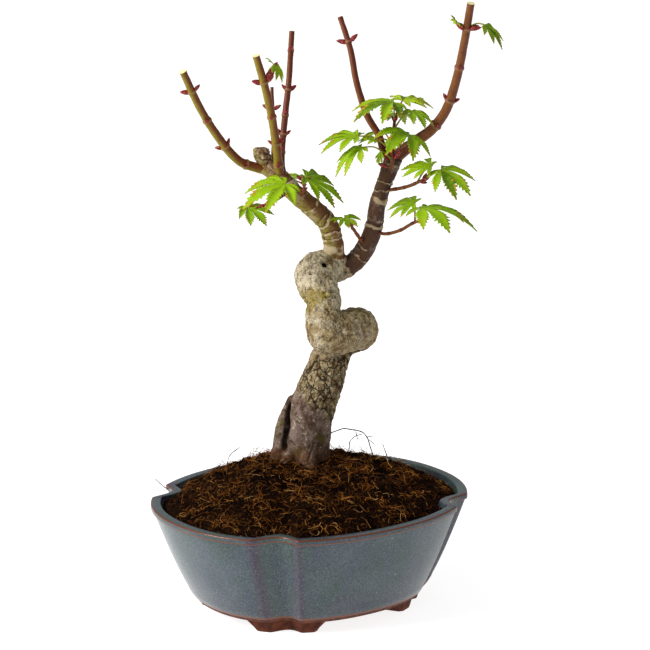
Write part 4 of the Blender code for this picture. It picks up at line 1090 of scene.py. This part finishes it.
def shootFinish(tone):
    f = Finish(tone + " shoot bark", shootPaint[tone], Coat_Roughness=0.3, Specular_IOR_Level=0.2)
    colour = f.mix(f.mark("sun", -0.55, 0.5, 0.7, 3.5, 3), "shade", "sun")
    streaks = f.cloud(1.4, 4, coords=f.stretched((1, 1, 0.25)))
    colour = f.mix(f.band(streaks, 0.5, 0.7) * 0.4, colour, "deep")
    colour = f.mix(f.mark("ring", 0.4, 0.8, 0.6, 1, 3) * 0.7, colour, "scar")
    colour = f.mix(f.dots(1.7, 0.14, 0.07) * 0.5, colour, "scar")
    return f.feed(Base_Color=colour, Roughness=0.36 + f.cloud(2) * 0.2, Coat_Weight=0.04 + f.cloud(3) * 0.08,
                  Normal=f.relief(f.cloud(0.9, 4), 0.06, 0.5))


def cutFinish():
    f = Finish("fresh cut wood", cutPaint, Specular_IOR_Level=0.3)
    colour = f.mix(f.patches(0.45, 0.7, 0.8, 4) * 0.6, "pith", "rim")
    bump = f.relief(f.cloud(0.4, 4), 0.1)
    return f.feed(Base_Color=colour, Roughness=0.55 + f.cloud(1) * 0.2, Normal=bump)


def swelledPath(path, shares):  # thickens a path where its buds sit
    lengths = pathLengths(path)
    swelled = []
    for (spot, radius), at in zip(path, lengths):
        near = min(abs(at - share * lengths[-1]) for share in shares) / mm
        swell = (shootShape["swell"] - 1) * (1 - ease(0.2, shootShape["nodeLength"], near))
        swelled.append((spot, radius * (1 + swell)))
    return swelled


def budDirections(path, shares, firstSideways):  # opposite pairs, each turned a quarter from the one before
    for i, share in enumerate(shares):
        spot, along, radius = pathPoint(path, share)
        sideways = along.cross(Vector((0, 1, 0))).normalized()
        facing = sideways.cross(along).normalized()
        out = sideways if (i % 2 == 0) == firstSideways else facing
        length, lean = budShape["top" if i + 1 == len(shares) else "side"]
        lean = math.radians(lean)
        for sign in (-1, 1):
            direction = (along * math.cos(lean) + out * (sign * math.sin(lean))).normalized()
            yield spot + out * (sign * radius * budShape["seat"]), direction, length


def budMesh(kind):  # an egg of overlapping pointed scales, pointing up, one long
    sides, rings = budShape["sides"], budShape["rings"]
    points = []
    for i in range(rings):
        t = i / (rings - 1)
        width = budShape["width"] * (math.sin(math.pi * min(1, 0.12 + t * 0.86)) ** 0.8) + 0.005
        for k in range(sides):
            turn = 2 * math.pi * k / sides
            scale = 0.1 if (t * 3 + k % 2 * 0.5) % 1 < 0.35 else 0
            ridge = 1 + 0.12 * math.cos(2 * turn + kind) * (1 - t) + scale
            points.append((width * ridge * math.cos(turn), width * ridge * math.sin(turn) * 0.85, t - 0.12))
    return addMesh("budSeed", points, ringFaces(rings, sides) + endFaces(rings, sides))


def budFinish():
    f = Finish("red bud scales", budPaint, Specular_IOR_Level=0.2)
    colour = f.mix(f.patches(0.35, 0.65, 1.3, 3), "deep", "red")
    colour = f.mix(f.patches(0.54, 0.68, 0.9, 3) * 0.7, colour, "edge")
    bump = f.relief(f.cloud(0.5, 3), 0.08)
    return f.feed(Base_Color=colour, Roughness=0.45 + f.cloud(1) * 0.2, Normal=bump)


def buildPlanter():  # sets a thing at each point, turned and sized by the point's attributes
    grower = Grower("planter", {"Things": noThings, "Size": 1.0, "Material": None})
    turn = grower.add("FunctionNodeEulerToRotation", {}, {0: grower.read("turn", "FLOAT_VECTOR")})
    size = grower.read("size") * grower.input("Size")
    grower.finish(grower.instances(grower.geometry, grower.read("pick", "INT"), turn, size))
    return grower


def plant(name, spots, seeds, material):  # spots are (place, direction, size)
    chance = random.Random(budShape["seed"])
    thing = addMesh(name, [spot for spot, _, _ in spots], [])
    turns = []
    for _, direction, _ in spots:
        spin = Matrix.Rotation(chance.uniform(0, 6.28), 3, "Z").to_quaternion()
        turns += list((direction.to_track_quat("Z", "Y") @ spin).to_euler())
    addShares(thing.data, "turn", turns, "FLOAT_VECTOR")
    addShares(thing.data, "pick", [chance.randrange(9) for _ in spots], "INT")
    addShares(thing.data, "size", [size * mm for _, _, size in spots])
    return growSeeds(planter, thing, seeds, {"Material": material})


def paintCut(limb, tip):  # gives the flat end nearest to the tip its own material
    ends = [face for face in limb.data.polygons if len(face.vertices) > 4]
    nearest = min(ends, key=lambda face: (face.center - tip).length)
    nearest.material_index = 1


def shootRelief(rings):
    def relief(p, normal):
        ring = max(1 - ease(0.35, 0.9, abs((p - centre).dot(along))) if (p - centre).length < 4 else 0
                   for centre, along in rings)
        push = 0.09 * ring + 0.06 * noise.noise(p * 0.9) + 0.1 * noise.noise(p * 0.22)
        return push, {"ring": ring, "sun": normal.dot(sunSide)}
    return relief


def buildShoots():
    cut = cutFinish()
    chance = random.Random(shootShape["seed"])
    for tone in ("green", "red"):
        finish = shootFinish(tone)
        limbs = []
        for node, shoot in shoots.items():
            if shoot["tone"] != tone:
                continue
            path, shares = smoothPath(shoot["stations"], shootShape["step"]), shoot["nodes"]
            limb = growTubes(node, [swelledPath(path, shares)], shootShape["sides"], finish)
            marks = [pathPoint(path, share) for share in shares]
            carve(limb, shootRelief([((spot - potMiddle) / mm, along) for spot, along, _ in marks]))
            limb.data.materials.append(cut)
            paintCut(limb, path[-1][0])
            limbs.append(limb)
            for spot, direction, length in budDirections(path, shares, "sideways" in shoot):
                budSpots.append((spot, direction, length * chance.uniform(0.88, 1.1)))
        nodes = [node for node, shoot in shoots.items() if shoot["tone"] == tone]
        handOver(joinThings(tone + "Shoots", limbs), nodes)
    print("shoots")


planter = buildPlanter()
budSpots = []
buildShoots()


# leaves, their stalks and twigs

lobes = [(-112, 0.38), (-70, 0.68), (-34, 0.9), (0, 1.0), (34, 0.9), (70, 0.68), (112, 0.38)]
leafShape = {"halfWidth": 0.195, "widest": 0.48, "cleft": 0.32, "thickness": 0.22, "teeth": 9,
             "toothOut": 1.24, "toothIn": 0.72, "fold": 0.42, "stalk": 0.42, "arch": 0.15, "archAt": 0.55,
             "stalkEnd": 0.6, "stalkStep": 0.8, "stalkSides": 7, "merge": 0.02, "seed": 29}
twigShape = {"step": 0.7, "sides": 12, "nodes": [0.3, 0.55, 0.8], "tipBuds": (3.2, 4.6),
             "sideBuds": (1.8, 2.8), "lumps": 0.06}
leafPaint = {"bright": (138, 176, 0), "fresh": (118, 158, 0), "deep": (80, 116, 0),
             "pale": (166, 192, 34), "vein": (174, 196, 60), "margin": (164, 132, 20),
             "tip": (146, 88, 30), "stalk": (138, 132, 28), "stalkRed": (130, 46, 28)}
leafTones = ("bright", "fresh", "deep", "pale", "margin", "tip")


# a leaf is its share of the stem, the blade's base, (heading, dip, roll), length, droop and spread
masses = {
    "left_leaves": {
        "stem": [(-9.5, 5, 220.5, 0.95), (-12.5, -3, 219.5, 0.9), (-19, -5, 216, 0.8), (-26, -5, 213, 0.7)],
        "leaves": [
            (0.42, (-12.2, -11.5, 226.8), (-147, 5, -16), 24.4, 0.31, 1.0),
            (1.0, (-31.4, -6, 213.4), (-45, 20, 12), 15.5, 0.1, 1.05)]},
    "left_back_leaves": {
        "stem": [(-1, 9, 213, 0.8), (-2.5, 16, 218, 0.7), (-4, 21, 222, 0.6)],
        "leaves": [
            (1.0, (-4.5, 24, 223.5), (70, 10, 5), 17, 0.35, 1.0),
            (0.8, (-9, 20, 221), (165, 12, -8), 13, 0.35, 1.0)]},
    "middle_leaves": {
        "stem": [(-4, 7, 215.5, 0.85), (-3.2, 0.5, 220.5, 0.75), (-2.2, -3, 226, 0.65)],
        "leaves": [
            (1.0, (-1.8, -4, 228.5), (8, 28, 18), 23.5, 0.1, 0.9)]},
    "fork_leaves": {
        "stem": [(29, 17.5, 187.5, 0.9), (24.1, 10, 196, 0.85), (21.4, 6, 201, 0.75)],
        "leaves": [
            (1.0, (18.2, 2, 205.9), (-40, 6, 20), 9.5, 0.2, 1.1),
            (0.75, (16.2, 5.5, 205.2), (-165, 0, 0), 7, 0.25, 1.0)]},
    "lower_right_leaves": {
        "stem": [(33, 16, 196.5, 0.95), (38.6, 11.5, 195.4, 0.9), (46.4, 6, 198.4, 0.9),
                 (52.8, 2, 203, 0.85), (58, -1, 206, 0.75)],
        "leaves": [
            (1.0, (57.6, -4, 212.4), (-13, -6, 0), 27.8, 0.48, 1.12),
            (0.85, (54, -1, 214.4), (155, 5, -24), 15, 0.22, 0.92)]},
    "upper_right_leaves": {
        "stem": [(37.8, 13, 218, 0.95), (43.2, 9.5, 219.3, 0.95), (50.5, 2, 222.5, 0.9),
                 (58, -2, 226.6, 0.8)],
        "leaves": [
            (1.0, (67.1, -5, 232.5), (-40, 4, 14), 20.5, 0.42, 0.95),
            (0.85, (62.5, -3, 234.1), (160, 1, -20), 18.1, 0.22, 0.78)]},
    "crown_leaves": {
        "stem": [(42.4, 9.5, 229.5, 1.1), (42.4, 4.6, 235, 1.0), (42.8, 4.2, 246, 0.9),
                 (43.4, 5, 256, 0.8)],
        "leaves": [
            (0.2, (50.6, -3, 250.6), (-118, -10, -20), 23.2, 0.41, 1.15),
            (0.45, (24.9, 2, 248.8), (165, 1, -8), 21.8, 0.25, 0.85),
            (0.3, (26.4, -1, 243.5), (-163, 24, -8), 16, 0.4, 0.9),
            (0.6, (34, 1.5, 246.6), (165, -15, 0), 10, 0.3, 0.9),
            (1.0, (42.9, 4, 266), (-142, -10, -10), 23.4, 0.42, 0.95),
            (1.0, (47.6, 10, 265.6), (50, -5, 8), 19.7, 0.25, 0.92),
            (0.85, (52.6, 2, 261.9), (-60, 10, -8), 13, 0.3, 1.0),
            (0.7, (45.5, 20, 257), (79, 8, 0), 15, 0.35, 1.0),
            (0.5, (37, 20, 247), (120, 2, 0), 13, 0.35, 1.0)]}}
tipLeaves = [("right_outer_shoot", 0.86, (88.4, -10, 308.1), (-24, 39, 0), 12.6, 0.25, 1.0),
             ("right_outer_shoot", 0.86, (75.5, -9.5, 307.5), (-157, -50, 0), 7.5, 0.25, 1.0),
             ("left_middle_shoot", 0.78, (-17.6, -11.5, 288), (-25, 55, 0), 9, 0.25, 1.0)]
youngLeaves = [  # folded ones that have just left their buds, with neither stalk nor solid of their own
    ((36.3, 1, 241.5), (-100, 62, 0), 7, 0.1, 0.35), ((39.5, 1.5, 243), (-60, -70, 0), 6, 0.1, 0.3),
    ((-25, -5.5, 213.5), (-20, 10, 0), 5, 0.2, 0.4), ((-17.6, -11, 287.5), (170, -50, 20), 7.5, 0.2, 0.5),
    ((73.8, -9, 309.5), (160, -60, 0), 5, 0.2, 0.3)]
youngBuds = [  # red scales that young leaves grew out of: place, direction, length
    ((-21.2, -9, 280.5), (0.55, -0.05, 0.9), 8.5), ((-18.4, -10, 286), (0.7, -0.1, 0.9), 4.5),
    ((81.5, -9, 305.8), (1, -0.1, 0.15), 6), ((77.8, -8.5, 305.6), (-0.75, -0.1, 0.6), 6),
    ((39.2, 3, 232.5), (-0.9, -0.3, 0.45), 5.5), ((39.4, 3, 236), (-0.5, -0.3, 1), 5),
    ((41.3, 2.6, 239.5), (0, -0.3, 1), 5), ((44, 2.5, 237.5), (0.6, -0.3, 0.75), 5.5),
    ((42.6, 3.4, 246.5), (-0.3, -0.2, 1), 3.5), ((-23, -5.2, 214), (-0.9, -0.1, -0.25), 4.5),
    ((56.5, -1.2, 225.6), (0.9, -0.2, -0.1), 4.5), ((58.2, -2, 227), (0.5, -0.2, 1), 4.5),
    ((56.8, -0.6, 205.4), (0.9, 0, 0.4), 4.5)]


def leafFrame(heading, dip, roll):
    turn, drop, tilt = math.radians(heading), math.radians(dip), math.radians(roll)
    along = Vector((math.cos(turn) * math.cos(drop), math.sin(turn) * math.cos(drop), -math.sin(drop)))
    level = up.cross(along).normalized()
    face = along.cross(level)
    across = level * math.cos(tilt) + face * math.sin(tilt)
    return along, across, along.cross(across)


def lobeHalf(t, gap):  # half a lobe's width at a share of its length, and the room up to its neighbour
    s = leafShape
    fall = (t - s["widest"]) / (1 - s["widest"])
    swell = (t / s["widest"]) ** 0.9 if t < s["widest"] else 1 - fall ** 1.9
    return s["halfWidth"] * max(0, swell), t * math.tan(math.radians(gap / 2))


def leafBlade(base, pose, length, droop, spread, shape, chance):  # a toothed palm, with a tone for each face
    along, across, face = leafFrame(*pose)
    s = leafShape
    margin, tip = leafTones.index("margin"), leafTones.index("tip")
    points, faces, slots = [], [], []
    tone = chance.choice([0, 0, 1, 3])
    steps = [0.0, 0.08, 0.16, s["cleft"]]
    plain = len(steps)  # rows before the first tooth
    for k in range(s["teeth"]):
        steps += [s["cleft"] + (1 - s["cleft"]) * (k + e) / s["teeth"] for e in (0.62, 1)]

    def spot(turn, reach, off, lift):  # a place on the leaf: along a lobe, off its rib, above the blade
        angle = math.radians(turn)
        x = math.cos(angle) * reach - math.sin(angle) * off
        y = math.sin(angle) * reach + math.cos(angle) * off
        flat = along * x + across * y - up * (droop * (x * x + y * y)) + face * lift
        return place(base) + flat * length * mm

    for i, (turn, share) in enumerate(shape):
        reach = share * chance.uniform(0.93, 1.04)
        twist = chance.uniform(-5, 5)
        gaps = [abs(turn - shape[k][0]) if 0 <= k < len(shape) else 50 for k in (i - 1, i + 1)]
        curl = chance.uniform(0.0, 0.25)
        fold = s["fold"] * chance.uniform(0.5, 1.6)
        lobeTone = tone if chance.random() < 0.6 else chance.choice([0, 1, 2])
        first = len(points)
        for k, t in enumerate(steps):
            toothed = k >= plain
            tooth = toothed and k % 2 == 0
            heading = turn * spread + twist * max(0, t - s["cleft"]) * 2
            r = t * reach
            ahead = r + 0.03 * reach if tooth else r
            lift = -curl * max(0, t - 0.35) ** 2 * reach
            points.append(spot(heading, r, 0, lift))
            for sign, gap in zip((-1, 1), gaps):
                half, room = (value * reach for value in lobeHalf(t, gap * spread))
                edge = s["toothOut" if tooth else "toothIn"]
                out = half * (edge * chance.uniform(0.9, 1.12) if toothed else 1)
                half, out = min(half, room), min(out, room * (0.95 if toothed else 1))
                if k == len(steps) - 1:
                    out = 0.003
                raised = fold * half * min(1, t / s["cleft"])
                points.append(spot(heading, r, sign * half * 0.55, lift + raised * 0.45))
                points.append(spot(heading, ahead, sign * out, lift + raised))
        for k in range(len(steps) - 1):
            a, b = first + 5 * k, first + 5 * (k + 1)
            quads = [(a, b, b + 1, a + 1), (a + 1, b + 1, b + 2, a + 2),
                     (a, a + 3, b + 3, b), (a + 3, a + 4, b + 4, b + 3)]
            for number, quad in enumerate(quads):
                faces.append(quad)
                outer = number in (1, 3) and steps[k] > 0.5
                edge = outer and chance.random() < 0.25 + 0.35 * (steps[k] > 0.75)
                pointed = not edge and k > len(steps) - 3 and chance.random() < 0.6
                slots.append(margin if edge else tip if pointed else lobeTone)
    return points, faces, slots


def leafFinishes():
    finishes = []
    for name in leafTones:
        f = Finish(name + " leaf", leafPaint, Specular_IOR_Level=0.15)
        colour = f.mix(f.patches(0.35, 0.7, 2.5, 4, 0.6) * 0.35, name, "vein")
        colour = f.mix(f.patches(0.55, 0.75, 5, 3) * 0.3, colour, "deep")
        bump = f.relief(f.cloud(0.7, 4), 0.06, 0.5)
        finishes.append(f.feed(Base_Color=colour, Roughness=0.42 + f.cloud(2) * 0.2, Normal=bump))
    return finishes


def stalkFinish():
    f = Finish("leaf stalks", leafPaint, Specular_IOR_Level=0.4)
    colour = f.mix(f.mark("tone", 0.55, 0.7, 0.5, 3), "stalk", "stalkRed")
    bump = f.relief(f.cloud(0.8, 3), 0.05)
    return f.feed(Base_Color=colour, Roughness=0.45 + f.cloud(2) * 0.15, Normal=bump)


def buildLeaves():
    points, faces, slots, stalks, twigs = [], [], [], [], []
    s, t, chance = leafShape, twigShape, random.Random(leafShape["seed"])

    def addBlade(*sizes):
        more, quads, tones = leafBlade(*sizes, chance)
        faces.extend(tuple(i + len(points) for i in quad) for quad in quads)
        points.extend(more)
        slots.extend(tones)

    def addLeaf(start, base, *sizes):  # a blade with its stalk
        addBlade(base, *sizes)
        foot = place(base)
        middle = start.lerp(foot, s["archAt"]) + up * (s["arch"] * (foot - start).length)
        end = foot + (foot - middle).normalized() * s["stalkEnd"] * mm
        stations = [(*((p - potMiddle) / mm), s["stalk"] * width) for p, width in
                    ((start, 1.3), (middle, 0.95), (foot, 0.9), (end, 0.5))]
        stalks.append(smoothPath(stations, s["stalkStep"]))

    def addBuds(path, share, width, lengths):
        spot, along, _ = pathPoint(path, share)
        for side in (-1, 1):
            lean = (along + along.cross(up).normalized() * side * width).normalized()
            budSpots.append((spot, lean, chance.uniform(*lengths)))

    for mass in masses.values():
        path = smoothPath(mass["stem"], t["step"])
        twigs.append(swelledPath(path, t["nodes"]))
        for share, *sizes in mass["leaves"]:
            addLeaf(pathPoint(path, share)[0], *sizes, lobes)
        addBuds(path, 1, 0.8, t["tipBuds"])
        for share in t["nodes"]:
            addBuds(path, share, 1, t["sideBuds"])
    for node, share, *sizes in tipLeaves:
        path = smoothPath(shoots[node]["stations"], shootShape["step"])
        addLeaf(pathPoint(path, share)[0], *sizes, lobes[1:-1])
    for sizes in youngLeaves:
        addBlade(*sizes, lobes[1:-1])
    for spot, direction, length in youngBuds:
        budSpots.append((place(spot), Vector(direction).normalized(), length))
    leaves = addMesh("leaves", points, faces, materials=leafFinishes())
    leaves.data.polygons.foreach_set("material_index", slots)
    faceOut(leaves, s["merge"] * mm)
    solid = leaves.modifiers.new("leaf thickness", "SOLIDIFY")
    solid.thickness = s["thickness"] * mm
    solid.offset = 0
    bakeModifiers(leaves)
    handOver(leaves, list(masses))
    handOver(growTubes("leafStalks", stalks, s["stalkSides"], stalkFinish()))
    twig = growTubes("leafTwigs", twigs, t["sides"], shootFinish("red"))
    carve(twig, lambda p, normal: (t["lumps"] * noise.noise(p), {"ring": 0.0, "sun": normal.dot(sunSide)}))
    handOver(twig)
    print("leaves")


buildLeaves()
budSeeds = [budMesh(kind) for kind in range(budShape["kinds"])]
handOver(plant("buds", budSpots, budSeeds, budFinish()))
print("buds")


# floor, light and camera

studio = {"paint": {"floor": (186, 186, 186), "cloud": (182, 182, 182)}, "glow": 0.85, "sky": 0.37,
          "lights": {"key": (54.0, 1.0, (-1.6, -0.68, 1.35)), "fill": (0.2, 0.8, (1.3, -0.9, 0.8))},
          "aim": (0, 0, 0.13), "camera": (0.00792, -1.7094, 0.5822), "tilt": 75.8, "lens": 188.7,
          "sensor": 36, "clipEnd": 30, "floorHalf": 8}


def buildStudio():
    s, white = studio, (1, 1, 1, 1)
    f = Finish("pale floor", s["paint"], Roughness=0.9, Emission_Color=white, Emission_Strength=s["glow"])
    f.feed(Base_Color=f.mix(f.patches(0.3, 0.7, 60, 2), "floor", "cloud"))
    half = s["floorHalf"]
    corners = [(-half, -half, 0), (half, -half, 0), (half, half, 0), (-half, half, 0)]
    floor = addMesh("floor", corners, [(0, 1, 2, 3)], materials=[f.material])
    floor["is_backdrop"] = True
    scene = bpy.context.scene
    scene.world = bpy.data.worlds.new("studio")
    scene.world.use_nodes = True
    sky = scene.world.node_tree.nodes["Background"].inputs
    sky["Color"].default_value = white
    sky["Strength"].default_value = s["sky"]
    for name, (power, size, spot) in s["lights"].items():
        lamp = show(name, bpy.data.lights.new(name, "AREA"))
        lamp.data.energy = power
        lamp.data.size = size
        lamp.location = spot
        lamp.rotation_euler = (Vector(s["aim"]) - lamp.location).to_track_quat("-Z", "Y").to_euler()
    camera = show("camera", bpy.data.cameras.new("camera"))
    camera.data.lens = s["lens"]
    camera.data.sensor_width = s["sensor"]
    camera.data.clip_end = s["clipEnd"]
    camera.location = potMiddle + Vector(s["camera"])
    camera.rotation_euler = (math.radians(s["tilt"]), 0, 0)
    scene.camera = camera
    scene.view_settings.view_transform = "Standard"
    print("studio")


buildStudio()
boxes = {"cad": cadBox, "visual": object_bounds()}
{name: [list(low), list(high)] for name, (low, high) in boxes.items()}
